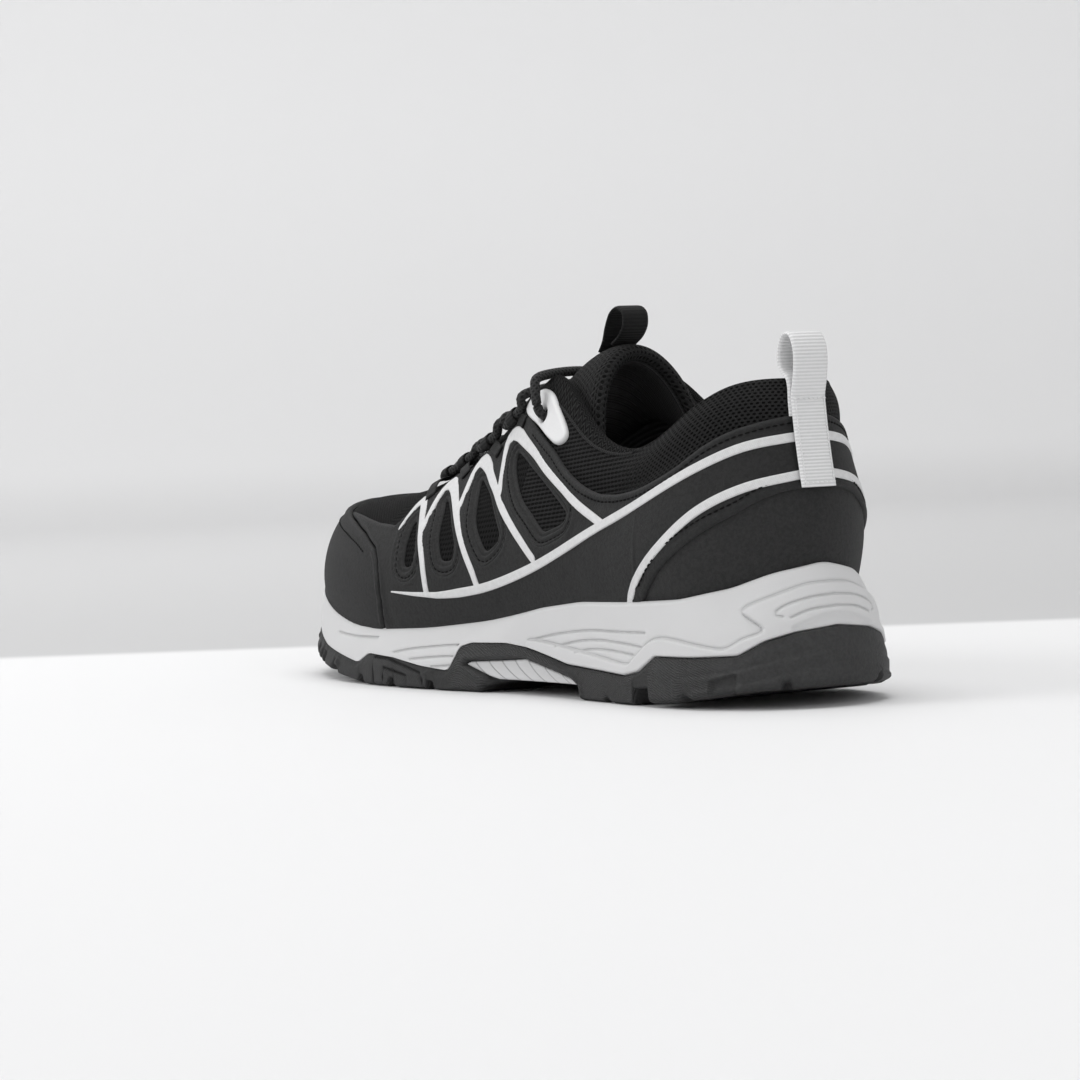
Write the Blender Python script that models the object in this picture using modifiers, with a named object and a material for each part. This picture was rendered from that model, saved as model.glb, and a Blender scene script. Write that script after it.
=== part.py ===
# Low safety shoe for the left foot: cupped sole, hollow upper, overlays, tongue, insole, lace, pull loops.
# The upper and the sole share one coordinate s that runs round the shoe, from the heel back (0) along the
# outer side to the toe tip (10) and back along the inner side (20). Sizes below are in millimetres.
# World frame: metres, +X to the toe, +Y to the wearer's left, +Z up, floor at z = 0, origin under the middle.

import bpy
import bmesh
import numpy as np
from mathutils import Matrix, Vector

MM = 0.001
GAP = 0.3                   # clearance between pieces that touch on the real shoe

# Sections of the last, heel to toe: x, half width and height at each ring, from feather edge to opening.
RINGS = ("feather", "bulge", "mid", "shoulder", "top")
SECTIONS = {
    "heel back":    ((-137, 0, 28), (-143.5, 0, 54), (-142, 0, 72), (-139, 0, 90), (-138, 0, 102.5)),
    "heel corner":  ((-127, 21, 28), (-132, 24, 53.5), (-130.5, 22.5, 71.5), (-127.5, 19.5, 89.5),
                     (-127, 17.5, 102)),
    "heel side":    ((-110, 33, 27), (-112, 36.5, 49), (-111, 34.5, 66), (-110, 31, 82), (-110, 28, 93.5)),
    "ankle":        ((-86, 34, 26), (-86, 38.5, 45), (-86, 37, 60), (-86, 34, 72), (-87, 31, 82.5)),
    "collar front": ((-56, 34, 24), (-56, 38.5, 44), (-56, 37.5, 59), (-56, 33, 73), (-56, 28.5, 89)),
    "eyelet":       ((-26, 35, 22), (-26, 41, 42), (-26, 38, 61), (-26, 31, 82), (-28, 23, 107.5)),
    "instep":       ((12, 40, 19.5), (12, 46, 38), (10, 41, 58), (8, 30, 76), (2, 21.5, 95.5)),
    "vamp":         ((62, 46, 16), (62, 51, 34), (60, 46, 52), (54, 33, 66.5), (44, 18, 77)),
    "toe side":     ((108, 40, 17), (110, 45, 33), (107, 42, 51), (97, 30, 64), (72, 13, 68)),
    "toe corner":   ((133, 24, 20.5), (138, 28, 36), (135, 26, 54), (120, 19, 65), (82, 7, 66.5)),
    "toe tip":      ((144, 0, 23), (150, 0, 39), (147, 0, 57), (129, 0, 65.5), (84, 0, 66.5)),
}
INNER_ADVANCE = (0, 0, 0, 0, 1, 2, 5, 8, 5, 2, 0)   # how far the inner side runs ahead, per section
TOE_SWING = 9               # the toe tip lies this far to the inner side of the heel's middle line
SWING_LENGTH = 145

# Plan of the sole at its widest: x and half width at the same sections.
SOLE_PLAN = ((-151.5, 0), (-140, 27), (-114, 39.5), (-86, 40.5), (-54, 40), (-22, 42), (16, 48), (66, 53.5),
             (116, 47), (146, 29), (159, 0))
# Heights along the sole's side: s from heel back to toe tip, height.
LIP = ((0, 46), (0.6, 43), (1.1, 38.5), (1.9, 35), (2.7, 34), (3.9, 33), (4.7, 30.5), (5.6, 25.5), (6.4, 22),
       (7, 20.5), (7.4, 21.5), (7.8, 25), (8.2, 30), (9, 36), (10, 39))
SPLIT = ((0, 25.8), (0.5, 24.2), (0.85, 21.5), (1.15, 17), (1.75, 16.3), (2.33, 16.3), (2.67, 11), (3, 9.2),
         (4.1, 11.2), (4.83, 16.1), (5.17, 17.4), (5.67, 17), (5.83, 15.5), (6, 6.8), (6.33, 8), (6.67, 10.4),
         (7, 11.3), (7.17, 7.5), (7.83, 12), (8.33, 18), (9, 20.5), (10, 22))
TREAD = ((0, 6), (1, 4.5), (1.6, 2.2), (2.1, 0), (7.1, 0), (7.5, 2.5), (8.27, 8), (9, 12), (10, 15))
DECK_RISE, DECK_INSET = 8, 7    # top of the outsole's middle above its tread, and how far in it starts
SPLIT_INSET = 0.8
SIDE_SHARE = 0.4            # how far up its side the outsole is widest
TREAD_ROUND, TREAD_ROUND_INSET, TREAD_INSET = 1.6, 0.5, 2.6     # rounded lower edge
RIM_HEIGHT, RIM_INSET = 4.5, 0.4        # proud band of the midsole above the split line
STEP_RISE, STEP_INSET = 0.9, 1.7        # step from that band to the midsole's side
LIP_THICKNESS, LIP_ROUND = 2.6, 0.8
INSOLE_THICKNESS, INSOLE_ROUND = 4, 1.2
SIDE_REACH = 80             # cutters seen from the side reach this far out
SIDE_FULLNESS = 0.2         # how far the midsole's side bulges, as a share of its overhang

# Arch and tread, as (x, z) outlines seen from the side.
ARCH = ((-60, -2), (-58, 3.9), (-45, 4.8), (-14, 4.4), (-5, 2.4), (3, -2))
ARCH_WINDOW = ((4.5, 9.6), (2, 11), (-19, 12.2), (-27, 12.8), (-54.5, 7), (-57, 5.6), (-57, 2), (-13, 2),
               (-5.5, 6))
ARCH_SPAN = (3.4, 6.2)      # s from end to end of the windows
ARCH_TOP = 16               # height that clears the windows
ARCH_INSERT = ((3.4, 9.7), (1.8, 10.5), (-19, 11.7), (-26.9, 12.3), (-54.2, 6.5), (-55.6, 5.4), (-12.8, 5.4),
               (-6, 6.6))
WINDOW_DEPTH = 3
WINDOW_CUT = 4              # the window's cutter stands this far out
INSERT_SINK = 1.1           # face of the insert below the sole's wall
RIBS, RIB_RISE = 7, 0.35
GROOVE_WIDTH = 3.5
GROOVE_SLANT = 14           # degrees from straight across
GROOVE_DEPTH = 3
GROOVE_RIB = 3              # half width of the uncut rib along the middle
GROOVE_LENGTH = 60
GROOVE_PLACES = (-102, -84, 14, 36, 58, 80, 102, 124)   # x of each pair of grooves

# Upper.
WALL = 2.2
COLLAR_WALL = 5.6           # padded edge of the opening
COLLAR_START, COLLAR_FULL = 0.62, 0.9   # v where the padding begins and is full
EDGE_ROUND = 0.3            # rise of the rounded edge, as a share of its thickness
COLLAR_END, THROAT_START = 3.4, 4.7     # s between which the padding thins out
UPPER_SPLITS = (3, 2, 2, 2, 2, 2, 2, 2, 3, 3)   # columns from section to section; the sole has twice as many
UPPER_ROWS = np.linspace(0, 1, 8)

# Overlays, as (x, z) outlines seen from the side. The lower edge follows the midsole's lip.
OVERLAY = 1.2
OVERLAY_GAP = 0.4           # from the upper to the layer over it
OVERLAY_LIFT = 1.4          # overlays start this far above the lip
SEAM_GAP = 0.5              # between neighbouring overlays
BEYOND_HEEL, BEYOND_TOE = -160, 170
COUNTER_END, CAP_START, PANEL_END = 3, 6.5, 7.5     # s that each layer reaches before it is cut
TAB_SPAN = 1.5
CAP_SEAM = ((57, 34), (58, 39), (63, 46.5), (73, 52), (90, 56), (112, 60), (135, 63))
PANEL_TOP = ((-10, 93), (-29, 85.5), (-48, 75), (-57, 71), (-71, 69), (-85, 71), (-103, 77), (-117, 84),
             (-126, 89), (-136, 93), (-146, 94))
THROAT_EDGE = ((54, 57), (46, 67.5), (33.5, 74.5), (18, 81.5), (-5, 92.5))      # front to back
COUNTER_TOP = ((-96, 36), (-110, 48), (-122, 56), (-131, 60), (-136, 66.5), (-146, 69))
WINDOWS = (
    ((44, 57.5), (37.5, 50), (37, 42.5), (42.5, 47)),
    ((31, 66.5), (12.5, 51), (15.5, 45), (23.5, 53)),
    ((13.5, 73.5), (-11.5, 53), (-8, 48.5), (3.5, 57)),
    ((-8.5, 82), (-50.5, 60), (-39, 55.5), (-19.5, 67)),
)
EYELET_TAB = ((-11.5, 98), (-14, 101.5), (-18, 102.5), (-23, 100.5), (-38, 91), (-40.5, 87.5), (-38.5, 84.5),
              (-34, 85.3), (-22, 90.5), (-13, 95))
EYELET_HOLE = (5.14, 0.88, 3.4)                 # s, v and radius

# Tongue, front to back: station of its side edge, x and height of its crown, depth of the edge in the shoe.
TONGUE = ((9.2, 92, 59, 5), (8.6, 80, 60.4, 5), (8, 66, 63, 5), (7.3, 48, 68.6, 5.6), (6.7, 28, 76.6, 5.4),
          (6.2, 10, 84.5, 5), (5.7, -6, 93.5, 5), (5.2, -15, 102.5, 6.5), (4.8, -22.5, 109.8, 8),
          (4.45, -31, 114, 9.2), (4.1, -41.5, 114.8, 10))
TONGUE_EDGE_V = 0.86
TONGUE_HALF, TONGUE_EDGE_HALF = 2.6, 1.5
TONGUE_ACROSS = 8

# Lace and its loops: station of each loop, front to back.
LACE_RADIUS = 2
LOOP_INSIDE, LOOP_WALL, LOOP_WIDTH = 2.4, 0.7, 6
LOOP_STATIONS = (7.25, 6.85, 6.4, 5.9)
LOOP_V = 0.95
LOOP_STAND = 0.5            # more room under a loop, where the upper curves
LACE_REACH = 6              # the lace runs straight this far each side of a loop's middle
LACE_EDGE = 0.2             # stretch of the throat's edge between a loop and where the lace crosses that edge
LACE_LIFT = 4.2             # the lace passes this far outside that edge
LACE_CROWN = 2.8            # rise of each crossing above the loops
LACE_BOW = 3                # the lowest bar bends this far forward
TOP_CROSSING = (-13, 112.5)     # x and height where the lace crosses below the tongue's top
LACE_ENTRY = ((5.29, 1, 5.5), (5.14, 0.94, 6.5), (5.14, 0.88, 2.3))     # s, v and lift down to the eyelet

# Pull loops: webbing.
WEBBING = 1.5
HEEL_LOOP_WIDTH, TONGUE_LOOP_WIDTH = 13, 10.5
HEEL_SHIFT, TONGUE_SHIFT = 1.5, 0       # each loop's middle stands this far to the outer side
HEEL_CURVE, TONGUE_CURVE = 36, 400      # radius of each loop across its width
HEEL_LOOP_STEP, TONGUE_LOOP_STEP = 3.5, 4
HEEL_LOOP_FOOT, HEEL_LOOP_HEAD = 0.46, 0.91     # the sewn part, up the back of the heel
HEEL_LOOP_RING = ((-142.1, 103), (-143, 108.5), (-142.8, 114), (-140.6, 118.2), (-137.2, 118.2), (-134.9, 114.4),
                  (-134.5, 109.6), (-135.9, 106.5), (-138.5, 104.5), (-139.4, 101.5), (-139.5, 97.5))
TONGUE_LOOP_RING = ((-25.6, 115.9), (-28.2, 119.4), (-30.3, 124.5), (-33.3, 129), (-37.5, 130.6),
                    (-40.8, 128.8), (-41, 124.6), (-38.2, 121), (-33.6, 118.4))

SLOTS = {                   # colour, roughness
    "outsole_rubber": ((0.030, 0.030, 0.032, 1), 0.75),
    "midsole_foam": ((0.62, 0.62, 0.63, 1), 0.6),
    "insert_grey": ((0.60, 0.60, 0.60, 1), 0.5),
    "panel_black": ((0.030, 0.030, 0.031, 1), 0.8),
    "mesh_black": ((0.016, 0.016, 0.017, 1), 0.9),
    "insole_cloth": ((0.02, 0.02, 0.02, 1), 0.9),
    "lace_black": ((0.018, 0.018, 0.018, 1), 0.85),
    "webbing_black": ((0.012, 0.012, 0.012, 1), 0.8),
    "webbing_white": ((0.75, 0.75, 0.74, 1), 0.75),
    "tab_white": ((0.80, 0.80, 0.79, 1), 0.4),
}


# Curves and surfaces

def cyclic_spline(knots):
    # Smooth closed curve through equally spaced knots, as a function of the knot number.
    knots = np.asarray(knots, float)
    count = len(knots)
    system = 4 * np.eye(count) + np.roll(np.eye(count), 1, 0) + np.roll(np.eye(count), -1, 0)
    slopes = np.linalg.solve(system, 3 * (np.roll(knots, -1, 0) - np.roll(knots, 1, 0)))

    def at(s):
        s = np.asarray(s, float)
        first = np.floor(s).astype(int) % count
        second = (first + 1) % count
        t = (s - np.floor(s))[..., None]
        return ((1 + 2 * t) * (1 - t) ** 2 * knots[first] + t * (1 - t) ** 2 * slopes[first]
                + t * t * (3 - 2 * t) * knots[second] + t * t * (t - 1) * slopes[second])
    return at


def ring_weights(v):
    # Share of each ring in a natural cubic through equally spaced rings, for v from 0 to 1.
    count = len(RINGS)
    bend = np.zeros((count, count))
    system = np.eye(count)
    for k in range(1, count - 1):
        system[k, k - 1:k + 2] = (1, 4, 1)
        bend[k, k - 1:k + 2] = (6, -12, 6)
    curvature = np.linalg.solve(system, bend)
    place = np.clip(np.asarray(v, float), 0, 1) * (count - 1)
    low = np.minimum(place.astype(int), count - 2)
    t = (place - low)[..., None]
    unit = np.eye(count)
    return ((1 - t) * unit[low] + t * unit[low + 1]
            + ((1 - t) ** 3 - (1 - t)) * curvature[low] / 6 + (t ** 3 - t) * curvature[low + 1] / 6)


def swing(x):
    return -TOE_SWING * np.clip(np.asarray(x, float) / SWING_LENGTH, 0, 1) ** 2


def around(rows):
    # Rows of (x, half width, ...) for heel to toe become a closed loop: outer side there, inner side back.
    rows = np.asarray(rows, float)
    advance = np.asarray(INNER_ADVANCE, float) / 2
    sides = []
    for side in (1, -1):
        points = rows.copy()
        points[:, 0] -= side * advance
        points[:, 1] = swing(points[:, 0]) + side * rows[:, 1]
        sides.append(points)
    return np.concatenate([sides[0], sides[1][-2:0:-1]])


TURN = 2 * len(SECTIONS) - 2                    # s for one full turn
LAST = [cyclic_spline(around([rings[k] for rings in SECTIONS.values()])) for k in range(len(RINGS))]
PLAN = cyclic_spline(around(SOLE_PLAN))


def last(s, v):
    s, v = np.broadcast_arrays(np.asarray(s, float), np.asarray(v, float))
    weights = ring_weights(v)
    return sum(weights[..., k, None] * LAST[k](s) for k in range(len(RINGS)))


def skin(s, v, out):
    # Point on the upper's surface, moved outwards along its normal.
    s, v, out = np.broadcast_arrays(np.asarray(s, float), np.asarray(v, float), np.asarray(out, float))
    step = 0.01
    along = last(s + step, v) - last(s - step, v)
    up = last(s, np.minimum(v + step, 1)) - last(s, np.maximum(v - step, 0))
    normal = np.cross(up, along)
    normal /= np.linalg.norm(normal, axis=-1, keepdims=True)
    return last(s, v) + out[..., None] * normal


def fold(s):
    # Distance along the side from the heel back, the same for both sides.
    s = np.asarray(s, float) % TURN
    return np.minimum(s, TURN - s)


def side_height(table, s):
    places, heights = np.transpose(table)
    return np.interp(fold(s), places, heights)


def lip_v(s):
    # Where the upper's surface reaches the lip's height.
    rows = np.linspace(0, 0.5, 51)
    target = side_height(LIP, s)
    heights = last(s[:, None], rows[None, :])[..., 2]
    return np.array([np.interp(z, column, rows) for z, column in zip(target, heights)])


def sole_ring(s, inset, z):
    # The sole's plan, moved inwards by inset, at height z.
    step = 0.01
    along = PLAN(s + step) - PLAN(s - step)
    inward = np.stack([along[:, 1], -along[:, 0]], -1)
    inward /= np.linalg.norm(inward, axis=-1, keepdims=True)
    plan = PLAN(s) + np.reshape(inset, (-1, 1)) * inward
    return np.column_stack([plan, np.broadcast_to(z, len(s))])


def wall(s, v):
    # Wall thickness: plain sides and throat, padded round the collar.
    collar = 1 - np.clip((fold(s) - COLLAR_END) / (THROAT_START - COLLAR_END), 0, 1)
    rise = np.clip((v - COLLAR_START) / (COLLAR_FULL - COLLAR_START), 0, 1)
    return WALL + (COLLAR_WALL - WALL) * collar * rise * rise * (3 - 2 * rise)


def smooth_path(points, step):
    # Even points on a smooth curve through the given ones.
    points = np.asarray(points, float)
    padded = np.concatenate([2 * points[:1] - points[1:2], points, 2 * points[-1:] - points[-2:-1]])
    dense = []
    for a, b, c, d in zip(padded, padded[1:], padded[2:], padded[3:]):
        t = np.linspace(0, 1, 12, endpoint=False)[:, None]
        dense.append(0.5 * (2 * b + (c - a) * t + (2 * a - 5 * b + 4 * c - d) * t ** 2
                            + (3 * b - a - 3 * c + d) * t ** 3))
    dense = np.concatenate(dense + [points[-1:]])
    length = np.concatenate([[0], np.cumsum(np.linalg.norm(np.diff(dense, axis=0), axis=1))])
    even = np.linspace(0, length[-1], max(3, round(length[-1] / step) + 1))
    return np.column_stack([np.interp(even, length, dense[:, k]) for k in range(dense.shape[1])])


OUTLINE = PLAN(np.linspace(0, TURN, 800, endpoint=False))
MIDDLE = np.append((OUTLINE.min(0) + OUTLINE.max(0)) / 2, 0)    # becomes the world origin


# Blender objects

for old in list(bpy.data.objects):
    bpy.data.objects.remove(old, do_unlink=True)

SHOE = bpy.data.collections.new("safety_shoe")
CUTTERS = bpy.data.collections.new("cutters")
for collection in (SHOE, CUTTERS):
    bpy.context.scene.collection.children.link(collection)


def make_material(slot):
    colour, roughness = SLOTS[slot]
    material = bpy.data.materials.new(slot)
    material.use_nodes = True
    shader = material.node_tree.nodes["Principled BSDF"]
    shader.inputs["Base Color"].default_value = colour
    shader.inputs["Roughness"].default_value = roughness
    return material


MATERIALS = {slot: make_material(slot) for slot in SLOTS}


def place(obj, slot=None):
    # A part goes in the shoe's collection with its material, a cutter in the other one.
    for collection in list(obj.users_collection):
        collection.objects.unlink(obj)
    if slot:
        SHOE.objects.link(obj)
        obj.data.materials.clear()
        obj.data.materials.append(MATERIALS[slot])
    else:
        CUTTERS.objects.link(obj)
        obj.hide_render = True
        obj.display_type = "WIRE"
    return obj


def mesh_object(name, points, faces, slot=None):
    mesh = bpy.data.meshes.new(name)
    mesh.from_pydata(((np.asarray(points) - MIDDLE) * MM).tolist(), [], faces)
    mesh.update()
    shaped = bmesh.new()
    shaped.from_mesh(mesh)
    bmesh.ops.recalc_face_normals(shaped, faces=shaped.faces)
    shaped.to_mesh(mesh)
    shaped.free()
    return place(bpy.data.objects.new(name, mesh), slot)


def halves(a, b, c, d):
    # One diagonal for every grid, so that layers on the same grid stay parallel.
    return [(a, b, c), (a, c, d)]


def ring_faces(rows, columns, closed_rows):
    # Faces between neighbouring closed rings of equal length.
    faces = []
    for r in range(rows if closed_rows else rows - 1):
        low, high = r * columns, (r + 1) % rows * columns
        for c in range(columns):
            ahead = (c + 1) % columns
            faces += halves(low + c, low + ahead, high + ahead, high + c)
    return faces


def rung_faces(start, columns):
    # Closes a ring with rungs from the outer side to the inner side.
    half = columns // 2
    far = start + columns
    rungs = [(start + k, start + k + 1, far - k - 1, far - k) for k in range(1, half - 1)]
    ends = [(start, start + 1, far - 1), (start + half - 1, start + half, start + half + 1)]
    return rungs + ends


def capped_rings(name, rings, slot):
    # A solid from a stack of rings, its first and last ring closed across.
    columns = len(rings[0])
    faces = ring_faces(len(rings), columns, False)
    faces += rung_faces(0, columns) + rung_faces((len(rings) - 1) * columns, columns)
    return mesh_object(name, np.concatenate(rings), faces, slot)


def slab(name, inner, outer, slot=None):
    # A solid between two grids of the same shape.
    rows, columns = inner.shape[:2]
    count = rows * columns
    grid = np.arange(count).reshape(rows, columns)
    front = []
    for r in range(rows - 1):
        for c in range(columns - 1):
            front += halves(grid[r, c], grid[r, c + 1], grid[r + 1, c + 1], grid[r + 1, c])
    rim = np.concatenate([grid[0, :-1], grid[:-1, -1], grid[-1, :0:-1], grid[:0:-1, 0]])
    faces = front + [(c + count, b + count, a + count) for a, b, c in front]
    faces += [(a, b, b + count, a + count) for a, b in zip(rim, np.roll(rim, -1))]
    return mesh_object(name, np.concatenate([inner.reshape(-1, 3), outer.reshape(-1, 3)]), faces, slot)


def curve_mesh(curve_object):
    # A curve as a welded mesh object, ready for cutting or joining.
    bpy.context.scene.collection.objects.link(curve_object)
    bpy.context.view_layer.update()
    evaluated = curve_object.evaluated_get(bpy.context.evaluated_depsgraph_get())
    mesh = bpy.data.meshes.new_from_object(evaluated)
    welded = bmesh.new()
    welded.from_mesh(mesh)
    bmesh.ops.remove_doubles(welded, verts=welded.verts, dist=0.02 * MM)
    bmesh.ops.recalc_face_normals(welded, faces=welded.faces)
    welded.to_mesh(mesh)
    welded.free()
    name, where = curve_object.name, curve_object.matrix_world.copy()
    bpy.data.objects.remove(curve_object, do_unlink=True)
    made = bpy.data.objects.new(name, mesh)
    made.matrix_world = where
    return made


def prism(name, outlines, y_low, y_high):
    # Side-view outlines, the first one filled and the others holes, carried across from y_low to y_high.
    data = bpy.data.curves.new(name, "CURVE")
    data.dimensions = "2D"
    data.fill_mode = "BOTH"
    data.extrude = (y_high - y_low) / 2 * MM
    for outline in outlines:
        spline = data.splines.new("POLY")
        spline.points.add(len(outline) - 1)
        spline.use_cyclic_u = True
        for point, (x, z) in zip(spline.points, outline):
            point.co = ((x - MIDDLE[0]) * MM, z * MM, 0, 1)
    curve = bpy.data.objects.new(name, data)
    upright = Matrix.Rotation(np.pi / 2, 4, "X")
    curve.matrix_world = Matrix.Translation((0, ((y_low + y_high) / 2 - MIDDLE[1]) * MM, 0)) @ upright
    return place(curve_mesh(curve))


def tube(name, points, radius):
    data = bpy.data.curves.new(name, "CURVE")
    data.dimensions = "3D"
    data.bevel_depth = radius * MM
    data.bevel_resolution = 2
    data.use_fill_caps = True
    spline = data.splines.new("POLY")
    spline.points.add(len(points) - 1)
    for point, co in zip(spline.points, (np.asarray(points) - MIDDLE) * MM):
        point.co = (*co, 1)
    return curve_mesh(bpy.data.objects.new(name, data))


def cut(obj, other, operation):
    modifier = obj.modifiers.new(operation.lower(), "BOOLEAN")
    modifier.operation = operation
    modifier.object = other


# Sole

def columns(finer):
    # Values of s round the shoe, closer together at heel and toe.
    outer = np.concatenate([k + np.arange(finer * n) / (finer * n) for k, n in enumerate(UPPER_SPLITS)])
    return np.concatenate([outer, [TURN / 2], TURN - outer[:0:-1]])


ROUND = columns(2)
COLUMNS = columns(1)
TREAD_EDGE = side_height(TREAD, ROUND)
SPLIT_EDGE = side_height(SPLIT, ROUND)
DECK = TREAD_EDGE + DECK_RISE


def make_outsole():
    middle = TREAD_EDGE + SIDE_SHARE * (SPLIT_EDGE - TREAD_EDGE)
    rings = [sole_ring(ROUND, DECK_INSET, DECK), sole_ring(ROUND, SPLIT_INSET, SPLIT_EDGE),
             sole_ring(ROUND, 0, middle), sole_ring(ROUND, TREAD_ROUND_INSET, TREAD_EDGE + TREAD_ROUND),
             sole_ring(ROUND, TREAD_INSET, TREAD_EDGE)]
    outsole = capped_rings("outsole", rings, "outsole_rubber")
    cut(outsole, prism("arch_cutter", [ARCH], -SIDE_REACH, SIDE_REACH), "DIFFERENCE")
    cut(outsole, groove_cutter(), "DIFFERENCE")
    for side, y_low, y_high in (("left", 0, SIDE_REACH), ("right", -SIDE_REACH, 0)):
        wall_form = wall_band(f"window_{side}_cutter", side, -WINDOW_DEPTH, WINDOW_CUT, 0)
        cut(wall_form, prism(f"window_{side}_outline", [ARCH_WINDOW], y_low, y_high), "INTERSECT")
        cut(outsole, wall_form, "DIFFERENCE")


def wall_band(name, side, inside, outside, rib, slot=None):
    # A band between two distances from the sole's wall along the arch, its outer face waved by rib.
    s = np.linspace(*ARCH_SPAN, 2 * RIBS + 1)
    s = s if side == "left" else TURN - s
    wave = rib * (-1.0) ** np.arange(len(s))
    heights = (0, ARCH_TOP)
    inner = np.stack([sole_ring(s, -inside, z) for z in heights])
    outer = np.stack([sole_ring(s, -(outside + wave), z) for z in heights])
    return slab(name, inner, outer, slot)


def groove_cutter():
    # One box each side of the middle rib for every groove, slanted forward, following the tread's rise.
    shaped = bmesh.new()
    for x in GROOVE_PLACES:
        along = np.linspace(0, TURN / 2, 400)
        tread = np.interp(x, PLAN(along)[:, 0], side_height(TREAD, along))
        for side in (1, -1):
            size = Matrix.Diagonal((GROOVE_WIDTH, GROOVE_LENGTH, 2 * GROOVE_DEPTH, 1))
            turn = Matrix.Rotation(np.radians(-side * GROOVE_SLANT), 4, "Z")
            at = Vector((x, swing(x) + side * GROOVE_RIB, tread)) - Vector(MIDDLE)
            shift = Matrix.Translation((0, side * GROOVE_LENGTH / 2, 0))
            box = Matrix.Scale(MM, 4) @ Matrix.Translation(at) @ turn @ shift @ size
            bmesh.ops.create_cube(shaped, size=1, matrix=box)
    mesh = bpy.data.meshes.new("groove_cutter")
    shaped.to_mesh(mesh)
    shaped.free()
    return place(bpy.data.objects.new("groove_cutter", mesh))


def make_arch_inserts():
    for side, y_low, y_high in (("left", 0, SIDE_REACH), ("right", -SIDE_REACH, 0)):
        back = GAP - WINDOW_DEPTH
        insert = wall_band(f"arch_insert_{side}", side, back, -INSERT_SINK, RIB_RISE, "insert_grey")
        cut(insert, prism(f"insert_{side}_outline", [ARCH_INSERT], y_low, y_high), "INTERSECT")


def make_midsole():
    lip = lip_v(ROUND)
    crest = skin(ROUND, lip, GAP + LIP_THICKNESS - 2 * LIP_ROUND) + (0, 0, LIP_ROUND / 2)
    brow = skin(ROUND, lip, GAP + LIP_THICKNESS) - (0, 0, LIP_ROUND)
    step = sole_ring(ROUND, STEP_INSET, SPLIT_EDGE + RIM_HEIGHT + STEP_RISE)
    full = (brow + step) / 2
    full[:, :2] += SIDE_FULLNESS * (step[:, :2] - brow[:, :2])
    rings = [sole_ring(ROUND, DECK_INSET, DECK + GAP), sole_ring(ROUND, SPLIT_INSET, SPLIT_EDGE + GAP),
             sole_ring(ROUND, RIM_INSET, SPLIT_EDGE + RIM_HEIGHT), step, full, brow, crest,
             skin(ROUND, lip, GAP), skin(ROUND, lip / 2, GAP), skin(ROUND, 0, GAP) - (0, 0, GAP)]
    capped_rings("midsole", rings, "midsole_foam")


def make_insole():
    edge = skin(COLUMNS, 0, -WALL - INSOLE_ROUND)
    floor = last(COLUMNS, 0)[:, 2] + GAP
    rings = [np.column_stack([edge[:, :2], floor + lift]) for lift in (0, INSOLE_THICKNESS - INSOLE_ROUND)]
    top = skin(COLUMNS, 0, -WALL - 2 * INSOLE_ROUND)
    rings.append(np.column_stack([top[:, :2], floor + INSOLE_THICKNESS]))
    capped_rings("insole", rings, "insole_cloth")


# Upper

def make_upper():
    outer = [skin(COLUMNS, v, 0) for v in UPPER_ROWS]
    outer[0] = outer[0] + (0, 0, GAP)
    edge = wall(COLUMNS, 1)
    lift = np.outer(EDGE_ROUND * edge, (0, 0, 1))
    crest = skin(COLUMNS, 1, -edge / 2) + lift
    inner = [skin(COLUMNS, v, -wall(COLUMNS, v)) for v in UPPER_ROWS[::-1]]
    inner[-1][:, 2] = np.maximum(inner[-1][:, 2], outer[0][:, 2])
    rows = outer + [crest] + inner
    mesh_object("upper", np.concatenate(rows), ring_faces(len(rows), len(COLUMNS), True), "mesh_black")


def shell(name, s_from, s_to, slot):
    # The layer that overlays are cut from, on the upper's own columns and rows.
    turns = np.concatenate([COLUMNS - TURN, COLUMNS, COLUMNS + TURN])
    s = turns[(turns >= s_from) & (turns <= s_to)]
    rows = UPPER_ROWS[:, None]
    return slab(name, skin(s, rows, OVERLAY_GAP), skin(s, rows, OVERLAY_GAP + OVERLAY), slot)


def lip_edge(x_from, x_to):
    # Points just above the midsole's lip, seen from the side.
    s = np.linspace(0, TURN / 2, 61)
    x = last(s, lip_v(s))[:, 0]
    z = side_height(LIP, s) + OVERLAY_LIFT
    places = np.linspace(x_from, x_to, 10)
    return list(zip(places, np.interp(places, x, z)))


def shift_outline(points, dx, dz):
    return [(x + dx, z + dz) for x, z in points]


def make_toe_cap():
    seam = list(CAP_SEAM)
    cap = shell("toe_cap", CAP_START, TURN - CAP_START, "panel_black")
    outline = lip_edge(BEYOND_TOE, seam[0][0]) + seam + [(BEYOND_TOE, seam[-1][1] + 1)]
    cut(cap, prism("toe_cap_outline", [outline], -SIDE_REACH, SIDE_REACH), "INTERSECT")


def make_heel_counter():
    counter = shell("heel_counter", -COUNTER_END, COUNTER_END, "panel_black")
    end = COUNTER_TOP[-1][1] + 2
    outline = lip_edge(BEYOND_HEEL, COUNTER_TOP[0][0]) + list(COUNTER_TOP) + [(BEYOND_HEEL, end)]
    cut(counter, prism("heel_counter_outline", [outline], -SIDE_REACH, SIDE_REACH), "INTERSECT")


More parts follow.
